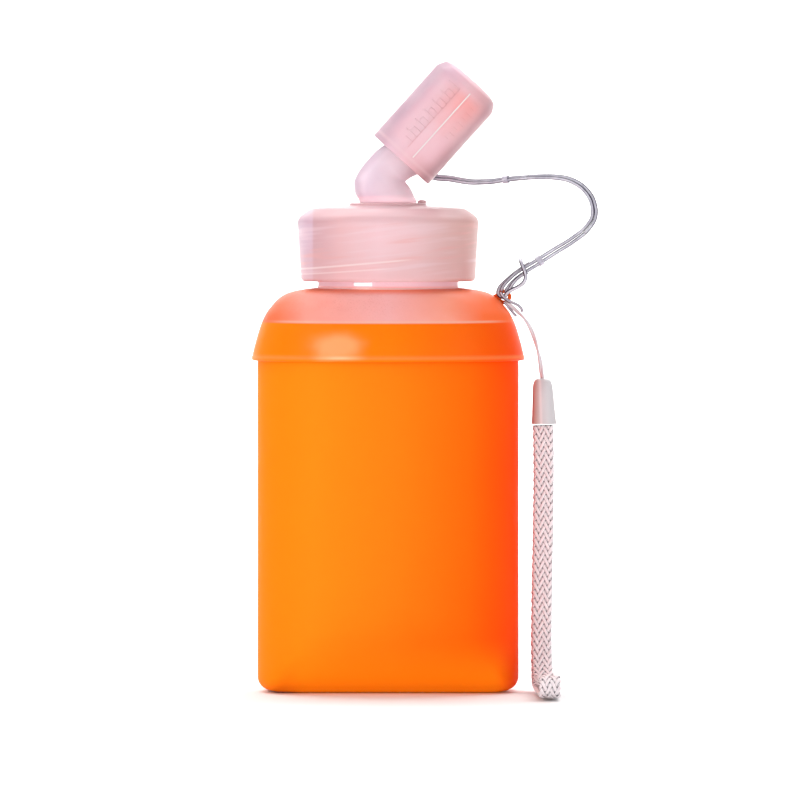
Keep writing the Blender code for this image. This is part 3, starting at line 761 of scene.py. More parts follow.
# The core's near-black is painted shade that shows in the gaps between the yarns.
strap_shade_core = yarn("strap_shade_core", (0.07, 0.04, 0.06), (0.05, 0.03, 0.05), (0.10, 0.05, 0.07))
string_yarn = yarn("string_yarn", (0.86, 0.79, 0.82), (0.60, 0.51, 0.56), (0.88, 0.78, 0.80))


def ferrule_plastic():
    made = Finish("cord_end_plastic", Roughness=0.35, Coat_Weight=0.2)
    x, y, z = made.axes()
    side = x + z * 0.035 - 0.00375
    t = side.between(0.0540, 0.0572)
    colour = made.blend(t, (0.54, 0.52, 0.50), (0.58, 0.54, 0.56))
    # Painted highlight: a pale stripe down the bell.
    colour = made.blend(made.hump(side, 0.0563, 0.0009) * 0.6, colour, (0.78, 0.70, 0.71))
    # Painted shade: the bell darkens towards its sides.
    reach = 0.0040 + (0.115 - z) * 0.04
    rim = (abs_of(side - 0.05755) / reach).between(0.78, 0.97)
    made.set("Base Color", made.blend(rim * 0.75, colour, (0.34, 0.25, 0.25)))
    made.set("Roughness", 0.3 + made.noise(200.0) * 0.15)
    made.bump(made.noise(500.0), 0.08, 0.0003)
    return made.material


ferrule = ferrule_plastic()

# ---- Tether, string and strap --------------------------------------------------------------------

TETHER_UPPER = [
    (12.9, 15.0, 190.9), (18.1, 15.0, 189.6), (22.9, 13.8, 189.2), (30.3, 11.4, 188.0),
    (37.7, 8.6, 188.1), (41.6, 7.2, 188.6), (44.0, 6.3, 188.92),
]
TETHER_LOOP = [
    (44.0, 6.3, 188.92), (46.6, 5.4, 189.2), (51.5, 4.0, 189.6), (56.2, 2.8, 189.85),
    (61.8, 1.6, 189.75), (66.4, 0.7, 189.0), (70.0, 0.0, 187.4), (72.7, -0.3, 185.3),
    (75.0, -0.6, 182.2), (76.1, -0.8, 178.8), (76.2, -0.9, 175.8), (75.3, -1.0, 173.2),
    (72.55, -1.15, 169.75),
]
TETHER_LOWER = [
    (72.55, -1.15, 169.75), (69.6, -1.2, 167.5), (66.6, -1.3, 165.4), (62.9, -1.4, 163.2),
    (58.1, -1.6, 160.2), (54.4, -1.8, 157.8), (50.7, -2.2, 155.6), (47.0, -2.7, 153.0),
    (44.4, -3.0, 150.5), (43.0, -3.1, 148.6), (42.6, -3.1, 147.4),
]
STRAP_STRING = [
    (43.7, -2.8, 144.2), (44.8, -2.7, 142.6), (47.2, -2.3, 140.6), (49.6, -1.9, 138.3),
    (51.4, -1.5, 136.0), (53.1, -1.1, 132.9), (54.5, -0.7, 129.0), (55.5, -0.4, 125.1),
    (56.3, -0.1, 121.4), (56.7, 0.0, 118.0), (57.0, 0.0, 115.8),
]
STRAP_ROUTE = [
    (57.4, -1.9, 98.0), (57.5, -1.95, 92.0), (57.6, -2.0, 80.0), (57.4, -2.0, 60.0),
    (57.0, -2.0, 38.0), (56.8, -2.2, 22.0), (56.9, -3.6, 12.0), (57.2, -8.0, 6.2),
    (57.6, -15.0, 4.8), (58.2, -28.0, 4.8), (58.6, -42.0, 5.6), (58.8, -50.0, 7.4),
    (58.8, -56.0, 7.8), (58.8, -59.6, 5.0), (58.8, -57.6, 1.8), (58.7, -52.0, 1.05),
    (58.4, -40.0, 1.05), (58.0, -26.0, 1.05), (57.5, -12.0, 1.1), (57.0, -4.0, 2.4),
    (56.8, 0.6, 7.0), (56.8, 1.9, 14.0), (56.8, 2.0, 26.0), (57.0, 2.0, 40.0),
    (57.4, 2.0, 60.0), (57.6, 2.0, 80.0), (57.5, 1.95, 92.0), (57.4, 1.9, 98.0),
]


def mix(ends, share):
    return ends[0] + (ends[1] - ends[0]) * share


def twin_strands(name, frames, spread, radius, angle):
    """Two round strands side by side along a line; each argument runs from a first to a last value."""
    strands = []
    for sign in (-1, 1):
        path = []
        for k, (place, _, side, up) in enumerate(frames):
            share = k / (len(frames) - 1)
            turn = mix(angle, share)
            wide = mix(spread, share) * MM
            path.append(place + (side * math.cos(turn) + up * math.sin(turn)) * wide * sign)
        strands.append(tube("strand", path, lambda share: mix(radius, share) * MM))
    return merged(name, strands)


def nearest(line, point):
    return min(range(len(line)), key=lambda k: (line[k] - Vector(point) * MM).length)


# One smooth line from the cap to the lug, in three pieces that part at the two joints
tether_line = smooth_line(TETHER_UPPER + TETHER_LOOP[1:] + TETHER_LOWER[1:], 1.2 * MM)
tether_frames = line_frames(tether_line)
first_joint = nearest(tether_line, TETHER_LOOP[2])
second_joint = nearest(tether_line, TETHER_LOOP[-1])
upper_line = tether_line[: first_joint + 1]
loop_line = tether_line[first_joint : second_joint + 1]
lower_line = tether_line[second_joint:]
upper_frames = tether_frames[: first_joint + 1]
upper_mesh = twin_strands("tether_upper_line", upper_frames, (0.62, 0.5), (0.68, 0.66), (1.2, 0.6))
tether_upper_line = add_object("tether_upper_line", upper_mesh, clear)
loop_frames = tether_frames[first_joint : second_joint + 1]
loop_mesh = twin_strands("tether_loop_line", loop_frames, (0.5, 0.72), (0.66, 0.68), (0.6, 1.45))
tether_loop_line = add_object("tether_loop_line", loop_mesh, clear)
lower_frames = tether_frames[second_joint:]
lower_mesh = twin_strands("tether_lower_line", lower_frames, (0.72, 0.85), (0.68, 0.68), (1.45, 1.6))
tether_lower_line = add_object("tether_lower_line", lower_mesh, clear)

string_line = smooth_line(STRAP_STRING + [(57.05, 0.0, 114.9)], 0.8 * MM)
string_frames = line_frames(string_line)
string_mesh = twin_strands("strap_string_yarns", string_frames, (0.30, 0.36), (0.46, 0.54), (0.9, 9.0))
strap_string_yarns = add_object("strap_string_yarns", string_mesh, string_yarn)

# Flat tubular braid: eight yarns each way round a flattened tube, each over two and under two.
STRAP_HALF = 4.0 * MM
CARRIERS = 8
STEP_ACROSS = 2.0 * MM
RISE = 3.2 * MM / STEP_ACROSS
strap_line = smooth_line(STRAP_ROUTE, 0.8 * MM)
strap_frames = line_frames(strap_line, Vector((1, 0, 0)))
strap_step = line_length(strap_line) / (len(strap_line) - 1)


def strap_point(along, around, lift):
    """A point of the strap's surface: along its length, around its flattened tube, and lifted off it."""
    k = min(max(along / strap_step, 0), len(strap_frames) - 1.001)
    base = int(k)
    part = k - base
    place = strap_frames[base][0].lerp(strap_frames[base + 1][0], part)
    side = strap_frames[base][2].lerp(strap_frames[base + 1][2], part)
    up = strap_frames[base][3].lerp(strap_frames[base + 1][3], part)
    turn = (around / (CARRIERS * STEP_ACROSS)) % 1.0
    # A stadium: straight faces, round edges
    reach = turn * 4
    half, thick = STRAP_HALF - 0.5 * MM, 0.2 * MM
    if reach < 2:
        x, y, nx, ny = (reach - 1) * half, -thick, 0.0, -1.0
    else:
        x, y, nx, ny = (3 - reach) * half, thick, 0.0, 1.0
    edge = abs(x) / half
    if edge > 0.8:
        bend = (edge - 0.8) / 0.2
        y *= math.sqrt(max(0.0, 1 - bend * bend * 0.98))
        nx = math.copysign(bend, x)
        ny *= math.sqrt(max(0.0, 1 - bend * bend))
    return place + side * (x + nx * lift) + up * (y + ny * lift)


def braid_mesh(name):
    length = line_length(strap_line)
    bm = bmesh.new()
    uv_layer = bm.loops.layers.uv.new("yarn")
    sides, half_width, half_thick = 8, 0.71 * MM, 0.25 * MM
    step = 0.8 * MM
    count = int(length / step)
    for hand in (1, -1):
        slope = math.atan2(1.0, RISE) * hand
        lean_sin, lean_cos = math.sin(slope), math.cos(slope)
        for index in range(CARRIERS):
            rings = []
            for k in range(count + 1):
                along = length * k / count
                lateral = along / RISE
                u = index * STEP_ACROSS + hand * lateral
                x = u / (STEP_ACROSS / 2)
                over = math.cos(math.pi / 2 * (x - 0.5)) * hand
                lift = 0.24 * MM * over + 0.2 * MM
                ring = []
                for i in range(sides):
                    angle = TURN * i / sides
                    wide = half_width * math.cos(angle)
                    tall = half_thick * math.sin(angle)
                    ring.append(strap_point(along - wide * lean_sin, u + wide * lean_cos, lift + tall))
                rings.append(ring)
            wrap_strand(
                bm, uv_layer, rings, lambda around, up: (around / sides + index, up * 0.25 + index * 3.7)
            )
    bmesh.ops.recalc_face_normals(bm, faces=bm.faces)
    return mesh_of(bm, name)


wrist_strap_braid = add_object("wrist_strap_braid", braid_mesh("wrist_strap_braid"), strap_yarn)
# A dark tape inside the braid, put there as painted shade for the gaps between the yarns.
CORE_SECTION = [(-1, -0.4), (-0.85, -1), (0.85, -1), (1, -0.4)]
CORE_SECTION += [(-across, -out) for across, out in CORE_SECTION]
core_rings = []
for place, tangent, side, up in strap_frames[::3] + [strap_frames[-1]]:
    ring = []
    for across, out in CORE_SECTION:
        ring.append(place + side * across * 3.5 * MM + up * out * 0.16 * MM)
    core_rings.append(ring)
strap_core_tape = add_object("strap_core_tape", skin("strap_core_tape", core_rings, True, True), strap_shade_core)

# ---- Bag ---------------------------------------------------------------------------------------

BAG_HALF_WIDTH = 48.3
BAG_HALF_DEPTH = 33.3
BAG_TOP = 136.5
BAG_WALL = 1.7
FOOT_ROUND = 5.0
TAPER_LOW = 121.5
TAPER_HEIGHT = 15.0


def soft_least(a, b, soft):
    h = max(soft - abs(a - b), 0) / soft
    return min(a, b) - h * h * soft / 4


def bag_half_width(z):
    if z < FOOT_ROUND:
        rise = math.sqrt(max(0.0, 1 - (1 - z / FOOT_ROUND) ** 2))
        return BAG_HALF_WIDTH - FOOT_ROUND + FOOT_ROUND * rise
    if z < TAPER_LOW:
        return BAG_HALF_WIDTH
    return BAG_HALF_WIDTH - 3.5 * ((z - TAPER_LOW) / TAPER_HEIGHT) ** 1.25


def bag_depth_limit(z):
    """Half the depth that the tucked-in bottom leaves at a height."""
    t = min(z / 42.0, 1.0)
    return 15.2 + 18.6 * (1 - (1 - t) ** 2.1)


def bag_ring(z, inset, segments=112):
    top = max(0.0, z - TAPER_LOW) / TAPER_HEIGHT
    half_x = bag_half_width(z) - inset
    half_y = BAG_HALF_DEPTH - 2.3 * top ** 1.25 - inset
    ring = []
    for i in range(segments):
        angle = TURN * i / segments
        c, s = math.cos(angle), math.sin(angle)
        x = half_x * math.copysign(abs(c) ** (2 / 2.4), c)
        y = half_y * abs(s) ** (2 / 2.4)
        y = soft_least(y, bag_depth_limit(z) - inset, 3.5)
        if z < FOOT_ROUND:
            y -= 2.6 * (1 - z / FOOT_ROUND) ** 2 * min(1, y / 8)
        ring.append(Vector((x, math.copysign(max(y, 0), s), z)) * MM)
    return ring


bag_heights = [0.0, 0.25, 0.8, 1.7, 3.0, 4.4, 6.0] + [8 + 2.6 * k for k in range(44)]
bag_heights += [122.3, 125.5, 128.5, 131.5, 134.5, 136.3]
rings = [bag_ring(z, 0.0) for z in bag_heights]
rings += [bag_ring(BAG_TOP, 0.5), bag_ring(BAG_TOP, 1.2)]
rings += [bag_ring(z, BAG_WALL) for z in reversed(bag_heights[4:-1:2])]
rings += [bag_ring(2.0, 3.0)]
bag_skin = add_object("bag_skin", skin("bag_skin", rings, True, True), orange)

# ---- Shoulder ----------------------------------------------------------------------------------


def oval_rings(rows, segments=120):
    rings = []
    for z, half_x, half_y, power in rows:
        ring = []
        for i in range(segments):
            angle = TURN * i / segments
            c, s = math.cos(angle), math.sin(angle)
            x = half_x * math.copysign(abs(c) ** (2 / power), c)
            y = half_y * math.copysign(abs(s) ** (2 / power), s)
            ring.append(Vector((x, y, z)) * MM)
        rings.append(ring)
    return rings


def denser(rows, steps=3):
    """Rows of an oval loft with smooth rows put in between."""
    out = []
    for k in range(len(rows) - 1):
        a, b = Vector(rows[max(k - 1, 0)]), Vector(rows[k])
        c, d = Vector(rows[k + 1]), Vector(rows[min(k + 2, len(rows) - 1)])
        for step in range(steps):
            t = step / steps
            p = 2 * b + (c - a) * t + (2 * a - 5 * b + 4 * c - d) * t * t
            out.append(tuple((p + (3 * b - a - 3 * c + d) * t ** 3) / 2))
    out.append(tuple(rows[-1]))
    return out


SHELL_DOME = [
    (124.6, 50.05, 35.0, 2.4), (128.5, 49.1, 34.5, 2.4), (133.9, 47.5, 33.5, 2.4),
    (137.2, 46.2, 32.6, 2.4), (139.9, 44.8, 31.9, 2.4), (142.8, 42.5, 30.8, 2.35),
    (144.6, 40.8, 30.0, 2.3), (146.4, 38.2, 29.2, 2.2), (147.6, 34.9, 28.3, 2.1),
    (148.4, 30.4, 27.4, 2.0),
]
SHELL_RIM = [
    (122.1, 49.9, 34.9, 2.4), (122.3, 50.4, 35.3, 2.4), (123.6, 50.4, 35.3, 2.4),
    (124.0, 50.1, 35.05, 2.4),
]
SHELL_NECK = [
    (148.75, 27.2, 26.6, 2.0), (148.95, 26.1, 26.1, 2.0), (149.3, 25.9, 25.9, 2.0),
    (151.0, 25.9, 25.9, 2.0), (172.5, 25.9, 25.9, 2.0), (173.0, 25.6, 25.6, 2.0),
    (173.2, 25.1, 25.1, 2.0), (173.2, 24.4, 24.4, 2.0), (173.0, 23.9, 23.9, 2.0),
    (172.5, 23.6, 23.6, 2.0), (147.8, 23.6, 23.6, 2.0), (146.9, 24.2, 24.0, 2.0),
    (146.5, 25.6, 24.8, 2.0),
]
SHELL_INSIDE = [
    (146.1, 31.0, 26.2, 2.05), (144.9, 36.4, 27.6, 2.2), (142.6, 40.3, 29.0, 2.3),
    (139.9, 43.2, 30.4, 2.4), (137.2, 44.9, 31.4, 2.4), (133.9, 46.2, 32.1, 2.4),
    (128.5, 47.7, 33.0, 2.4), (125.0, 48.6, 33.6, 2.4), (122.1, 48.9, 33.9, 2.4),
]
shell_rows = SHELL_RIM + denser(SHELL_DOME) + SHELL_NECK + denser(SHELL_INSIDE, 2)
shell_mesh = skin("shoulder_moulding", oval_rings(shell_rows), joined_ends=True)


def thread_mesh(name, base, tip, low, start_angle, sweep, steps=60):
    """One start of a rounded helical thread."""
    rings = []
    for i in range(steps + 1):
        t = i / steps
        angle = start_angle + sweep * t
        z = low + THREAD_LEAD * sweep * t / TURN
        fade = math.sqrt(min(1.0, t * 9, (1 - t) * 9))
        reach = base + (tip - base) * (0.2 + 0.8 * fade)
        flank = reach * 0.6 + base * 0.4
        section = [(base, -1.2), (flank, -0.95), (reach, -0.5), (reach, 0.5), (flank, 0.95), (base, 1.2)]
        ring = []
        for radius, rise in section:
            ring.append(Vector((radius * math.cos(angle), radius * math.sin(angle), z + rise)) * MM)
        rings.append(ring)
    return skin(name, rings, True, True)


pieces = [shell_mesh]
for start in range(3):
    angle = THREAD_PHASE + TURN * start / 3
    pieces.append(thread_mesh("thread", 25.6, 28.5, 156.5, angle, math.radians(240)))
shoulder_moulding = add_object("shoulder_moulding", merged("shoulder_moulding", pieces), shoulder_finish)

# Snap ring that holds the bag's top edge, the pale line inside the shoulder
RING_ROWS = [
    (128.6, 45.2, 30.5, 2.4), (136.4, 42.8, 29.0, 2.4), (136.8, 44.2, 30.6, 2.4),
    (137.4, 44.5, 30.9, 2.4), (138.2, 44.1, 30.5, 2.4), (138.6, 43.3, 29.8, 2.4),
    (138.6, 41.4, 27.9, 2.4), (138.2, 40.9, 27.4, 2.4), (128.6, 43.4, 28.8, 2.4),
]
clamp_mesh = skin("clamp_ring", oval_rings(RING_ROWS), joined_ends=True)
clamp_ring = add_object("clamp_ring", clamp_mesh, ring_finish)


def bar_on_shell(name, angle_low, angle_high, low, high, radius, height, where=Matrix.Identity(4), steps=8):
    """A raised bar on a round wall, from one angle and height to another, with softened edges."""
    rings = []
    for k in range(steps + 1):
        angle = angle_low + (angle_high - angle_low) * k / steps
        c, s = math.cos(angle), math.sin(angle)
        edge = min((high - low) * 0.3, height)
        section = [(-0.3, low), (height * 0.7, low), (height, low + edge)]
        section += [(height, high - edge), (height * 0.7, high), (-0.3, high)]
        ring = []
        for out, z in section:
            ring.append(where @ (Vector(((radius + out) * c, (radius + out) * s, z)) * MM))
        rings.append(ring)
    return skin(name, rings, True, True)


eye_rings = []
toward_root = Vector((38.4 - 42.9, 0, 143.2 - 145.5)).normalized()
across_root = Vector((-toward_root.z, 0, toward_root.x))
for out, inset in ((-1.5, 0.45), (-1.15, 0.0), (1.15, 0.0), (1.5, 0.45)):
    ring = []
    for k in range(28):
        angle = math.radians(62 + 236 * k / 27)
        way = toward_root * math.cos(angle) + across_root * math.sin(angle)
        ring.append(LUG_EYE + (way * (2.7 - inset) + Vector((0, out, 0))) * MM)
    for side in (-1, 1):
        root = toward_root * 5.2 + across_root * (2.3 - inset) * side
        ring.append(LUG_EYE + (root + Vector((0, out, 0))) * MM)
    eye_rings.append(ring)
lug_mesh = skin("lanyard_lug_eye", eye_rings, True, True)
lanyard_lug_eye = add_object("lanyard_lug_eye", lug_mesh, shoulder_finish)
eye_place = Matrix.Translation(LUG_EYE) @ Matrix.Rotation(math.pi / 2, 4, "X")
eye_mesh = turned("eye_cutter", [(1.35, -5), (1.35, 5)], 28, eye_place, False)
eye_cutter = bpy.data.objects.new("eye_cutter", eye_mesh)
scene.collection.objects.link(eye_cutter)
cut = lanyard_lug_eye.modifiers.new("eye", "BOOLEAN")
cut.operation, cut.solver, cut.object = "DIFFERENCE", "EXACT", eye_cutter


def apply_modifiers(obj):
    """Bakes the modifiers into the mesh, then drops them."""
    bpy.context.view_layer.update()
    made = bpy.data.meshes.new_from_object(obj.evaluated_get(bpy.context.evaluated_depsgraph_get()))
    obj.modifiers.clear()
    old, obj.data = obj.data, made
    bpy.data.meshes.remove(old)
    return obj


apply_modifiers(lanyard_lug_eye)
bpy.data.objects.remove(eye_cutter)

# The neck pad carries a painted highlight: it is white and glows.
neck_nib = bar_on_shell("neck_nib", math.radians(242), math.radians(257), 149.9, 151.1, 25.8, 0.9)
neck_nib = add_object("neck_nib", neck_nib, highlight_nib())

# ---- Lid ---------------------------------------------------------------------------------------

LID_OUTLINE = [
    (31.4, 151.3), (32.3, 152.2), (32.5, 156.0), (33.15, 168.0), (33.6, 173.4), (32.6, 175.2),
    (30.4, 176.9), (28.2, 178.2), (24.0, 178.6), (14.4, 179.1), (14.2, 180.2), (9.9, 180.2),
    (9.9, 176.4), (29.2, 176.4), (30.4, 175.2), (30.4, 152.2), (30.9, 151.3),
]
pieces = [turned("lid_body", rounded_outline(LID_OUTLINE, 1.1, 5), 128)]
for start in range(3):
    back = math.radians(98)
    angle = THREAD_PHASE - back + TURN * start / 3
    low = 156.5 + THREAD_LEAD / 6 - THREAD_LEAD * back / TURN
    pieces.append(thread_mesh("thread", 30.7, 27.1, low, angle, math.radians(240)))
nub_place = Matrix.Translation((12.5 * MM, 0, 0))
pieces.append(turned("nub", [(1.6, 179.6), (1.6, 180.8), (1.2, 181.2), (0.5, 181.35)], 24, nub_place, False))
lid_moulding = add_object("lid_moulding", merged("lid_moulding", pieces), lid_finish)

# ---- Spout -------------------------------------------------------------------------------------

spout_frame = axis_frame(SPOUT_WAY, CAP_MOUTH)
CREASE = Vector((6.5, 0, 188.1))


def leaning_ring(centre, lean, radius, segments=64):
    """A ring whose plane has turned towards +X by an angle."""
    ring = []
    right = Vector((math.cos(lean), 0, -math.sin(lean)))
    for i in range(segments):
        angle = TURN * i / segments
        depth = Vector((0, radius * math.sin(angle), 0))
        ring.append((Vector(centre) + right * (radius * math.cos(angle)) + depth) * MM)
    return ring


def level_ring(z, centre, radius):
    return leaning_ring((centre, 0, z), 0, radius)


def on_axis(distance):
    return CAP_MOUTH / MM + SPOUT_WAY * distance


# The shank below the foot, then the foot and the knee: height, centre and radius of each level ring
SHANK = [(171.0, 4.6), (171.0, 9.0), (171.4, 9.5), (172.2, 9.2), (172.5, 8.4)]
SHANK += [(176.8, 8.4), (176.9, 7.3), (179.3, 7.3), (179.4, 8.4), (180.24, 8.4)]
FOOT = [(180.26, 0, 10.3), (180.6, 0, 10.65), (181.4, -0.2, 10.65), (182.2, -0.7, 10.65)]
FOOT += [(183.2, -1.25, 10.75), (184.3, -1.7, 10.65), (185.5, -2.1, 10.4)]
FOOT += [(186.8, -2.6, 10.0), (188.1, -3.05, 9.55)]
rings = [level_ring(z, 0, radius) for z, radius in SHANK]
rings += [level_ring(z, centre, radius) for z, centre, radius in FOOT]
for k in range(1, 15):
    lean = TILT * k / 14
    radius = 9.55 - 1.65 * math.sin(math.pi / 2 * k / 14) ** 1.1
    left = Vector((-math.cos(lean), 0, math.sin(lean)))
    rings.append(leaning_ring(CREASE + left * radius, lean, radius))
last = CREASE + Vector((-math.cos(TILT), 0, math.sin(TILT))) * 7.9
for k in range(1, 6):
    t = k / 5
    ease = t * t * (3 - 2 * t)
    straight = on_axis(-2.6 + 3.0 * t)
    drift = (last - on_axis(-2.6)) * (1 - ease)
    drift -= SPOUT_WAY * drift.dot(SPOUT_WAY) * t
    rings.append(leaning_ring(straight + drift, TILT, 7.9 + 0.35 * ease))
# The bead, the collar that the cap snaps on, the tube's end and the channel back down
TUBE = [(0.5, 8.3), (0.7, 8.9), (1.2, 9.15), (1.7, 8.9), (2.0, 8.2), (2.2, 8.2)]
TUBE += [(2.4, 11.1), (2.8, 11.4), (3.6, 11.4), (4.1, 11.0), (4.3, 8.2), (6.0, 8.1), (6.1, 6.1)]
TUBE += [(13.6, 6.1), (14.0, 5.7), (14.0, 4.6), (10, 4.6), (4, 4.6), (0, 4.6), (-4, 4.6)]
rings += [leaning_ring(on_axis(distance), TILT, radius) for distance, radius in TUBE]
rings.append(leaning_ring((-0.9, 0, 189.6), TILT * 0.6, 4.7))
rings.append(leaning_ring((-1.5, 0, 186.5), TILT * 0.2, 4.7))
rings.append(level_ring(182.0, -0.4, 4.6))
spout_moulding = add_object("spout_moulding", skin("spout_moulding", rings, joined_ends=True), spout_finish)

MOUTHPIECE_OUTLINE = [
    (6.5, 6.5), (8.7, 6.5), (9.0, 8.0), (8.2, 10.5), (7.5, 14.0), (7.5, 18.0),
    (8.0, 22.0), (8.8, 25.5), (9.2, 28.5), (8.8, 31.5), (7.4, 33.8), (5.0, 34.9),
    (3.0, 34.9), (2.6, 34.2), (2.9, 31.0), (4.7, 27.0), (4.8, 15.4), (6.5, 14.4),
]
mouth_mesh = turned("mouthpiece_soft", rounded_outline(MOUTHPIECE_OUTLINE, 2.0, 5), 72, spout_frame)
mouthpiece_soft = add_object("mouthpiece_soft", mouth_mesh, coral)

# ---- Cap ---------------------------------------------------------------------------------------

CAP_RADIUS = 13.6
BAR_ROOT = 13.55
TICKS = 12
TICK_GAP = 2.35
CAP_OUTLINE = [
    (0.0, 39.6),
    (8.4, 39.6),
    (11.9, 38.5),
    (CAP_RADIUS, 35.4),
    (CAP_RADIUS, 0.0),
    (12.2, 0.0),
    (12.05, 33.4),
    (10.3, 37.2),
    (8.2, 38.1),
    (0.0, 38.1),
]


def cap_shell(name):
    outline = [(0.02, 39.6)]
    corners = [(2.0, 39.6)] + CAP_OUTLINE[1:-1] + [(2.0, 38.1)]
    outline += rounded_outline(corners, 0.9, 4, closed=False)
    outline += [(0.02, 38.1)]
    return turned(name, outline, 112, spout_frame)


def cap_angle(offset):
    """The angle round the cap of a point this many millimetres to the lower right of its front line."""
    return math.radians(270) + math.asin(offset / CAP_RADIUS)


pieces = [cap_shell("cap_body")]
emboss = [(cap_angle(-1.4), cap_angle(-1.15), 5.0, 34.6, 0.12)]
for k in range(TICKS):
    height = 7.6 + TICK_GAP * k
    long_tick = k % 2 == 1
    reach = 6.4 if long_tick else 4.6
    emboss.append((cap_angle(-reach), cap_angle(-1.2), height, height + 0.36, 0.16))
    if k > 3:
        end = 8.8 if long_tick else 7.9
        emboss.append((cap_angle(6.3), cap_angle(end), height, height + 0.34, 0.1))
for low in (12.3, 17.0, 21.7, 26.4, 31.1):
    emboss.append((cap_angle(-4.75), cap_angle(-4.5), low - TICK_GAP, low + 0.34, 0.12))
for low_angle, high_angle, low, high, height in emboss:
    pieces.append(bar_on_shell("bar", low_angle, high_angle, low, high, BAR_ROOT, height, spout_frame))
spout_cap_shell = add_object("spout_cap_shell", merged("spout_cap_shell", pieces), cap_finish)
front_line = (cap_angle(2.5), cap_angle(2.9), 3.6, 35.2, BAR_ROOT, 0.28)
cap_line_mesh = bar_on_shell("cap_front_line", *front_line, spout_frame)
cap_front_line = add_object("cap_front_line", cap_line_mesh, line_finish)

EYELET_TURN = math.radians(60)
eyelet_out = Vector((math.cos(TILT), 0, -math.sin(TILT))) * math.cos(EYELET_TURN)
eyelet_out += Vector((0, 1, 0)) * math.sin(EYELET_TURN)
eyelet_side = SPOUT_WAY.cross(eyelet_out)
eyelet_centre = CAP_MOUTH + (SPOUT_WAY * 3.2 + eyelet_out * 15.6) * MM
eyelet_rings = []
for level, inset in ((-1.1, 0.3), (-0.8, 0), (0.8, 0), (1.1, 0.3)):
    outer, inner = [], []
    for k in range(41):
        angle = math.radians(-125 + 250 * k / 40)
        way = eyelet_out * math.cos(angle) + eyelet_side * math.sin(angle)
        outer.append(eyelet_centre + (way * (2.9 - inset) + SPOUT_WAY * level) * MM)
        inner.append(eyelet_centre + (way * (1.45 + inset * 0.6) + SPOUT_WAY * level) * MM)
    eyelet_rings.append((outer, inner))
section_rings = []
for k in range(41):
    ring = [eyelet_rings[j][0][k] for j in range(4)] + [eyelet_rings[j][1][k] for j in (3, 2, 1, 0)]
    section_rings.append(ring)
eyelet_mesh = skin("cap_eyelet_loop", section_rings, True, True)
cap_eyelet_loop = add_object("cap_eyelet_loop", eyelet_mesh, cap_finish)

# ---- Cord end, sleeves and knot ------------------------------------------------------------------

CORD_END_OUTLINE = [
    (0.95, 115.3), (2.0, 115.3), (3.1, 114.5), (3.65, 112.8), (3.9, 110.0), (4.15, 105.0),
    (4.45, 100.6), (4.65, 98.6), (4.55, 98.4), (4.05, 98.4), (3.85, 98.8), (3.75, 104.6),
    (1.1, 104.8),
]
cord_end_frame = Matrix.Translation((57.4 * MM, 0, 0))
bell_mesh = turned("cord_end_bell", rounded_outline(CORD_END_OUTLINE, 0.7, 3), 56, cord_end_frame)
for vertex in bell_mesh.vertices:
    vertex.co.y *= 0.86
    vertex.co.x += (0.0985 - vertex.co.z) * 0.035 + 0.0003
cord_end_bell = add_object("cord_end_bell", bell_mesh, ferrule)


def sleeve(name, first, last, inner, outer):
    """A short clear tube with rolled ends, threaded on the tether."""
    first, last = Vector(first) * MM, Vector(last) * MM
    length = (last - first).length / MM
    outline = [(inner, 0), (outer, 0), (outer, length), (inner, length)]
    where = axis_frame(last - first, first)
    return turned(name, rounded_outline(outline, 0.25, 3), 28, where)


upper_sleeve_mesh = sleeve("sleeve_upper_tube", (42.6, 6.83, 188.72), (44.6, 6.1, 188.95), 1.25, 1.45)
sleeve_upper_tube = add_object("sleeve_upper_tube", upper_sleeve_mesh, sleeve_finish)
lower_sleeve_mesh = sleeve("sleeve_lower_tube", (55.2, -1.75, 158.3), (57.0, -1.66, 159.47), 1.62, 1.95)
sleeve_lower_tube = add_object("sleeve_lower_tube", lower_sleeve_mesh, sleeve_finish)

KNOT_STRANDS = [
    # Outer strand of the fan, down behind the eye
    [
        (52.4, -0.6, 157.9), (49.7, -0.7, 156.3), (46.5, -1.0, 154.0), (44.2, -1.2, 152.0),
        (41.8, -1.6, 149.8), (40.6, -2.2, 147.6), (41.0, -2.6, 146.0), (42.6, -2.4, 145.2),
    ],
    # Inner strand of the fan, through the eye
    [
        (51.6, -3.6, 154.6), (49.6, -3.7, 153.6), (47.4, -3.7, 151.9), (45.6, -3.7, 149.6),
        (44.4, -3.5, 147.6), (43.4, -2.6, 146.0), (42.9, -0.6, 145.4), (42.9, 1.8, 145.6),
    ],
    # The wrap that crosses the fan from its cut end and curls back to the eye
    [
        (48.9, -1.0, 159.2), (49.1, -3.6, 158.3), (49.7, -4.6, 156.8), (50.4, -4.9, 154.9),
        (50.8, -4.8, 152.9), (50.0, -4.6, 150.8), (48.1, -4.4, 149.3), (45.8, -4.2, 148.2),
        (44.0, -3.9, 147.0), (43.2, -3.4, 145.8), (42.4, -3.0, 144.9),
    ],
    # The turn that lies across the eye
    [
        (41.6, -2.9, 147.0), (42.3, -3.6, 145.9), (43.2, -3.9, 145.0), (44.4, -3.8, 144.1),
        (45.3, -3.4, 143.6),
    ],
    # A slack end that hangs out to the right
    [
        (43.6, -3.2, 144.6), (45.1, -3.5, 143.8), (46.9, -3.6, 143.0), (48.3, -3.5, 142.2),
        (49.3, -3.3, 141.1), (49.5, -3.1, 140.0),
    ],
    # The loose tail
    [
        (42.8, -3.0, 143.6), (43.9, -3.0, 142.4), (45.1, -2.9, 141.0), (46.4, -2.9, 139.4),
        (47.4, -2.8, 138.4),
    ],
]
KNOT_RADII = (0.68, 0.62, 0.74, 0.62, 0.5, 0.46)
pieces = []
for points, radius in zip(KNOT_STRANDS, KNOT_RADII):
    pieces.append(tube("strand", smooth_line(points, 0.5 * MM), radius * MM))
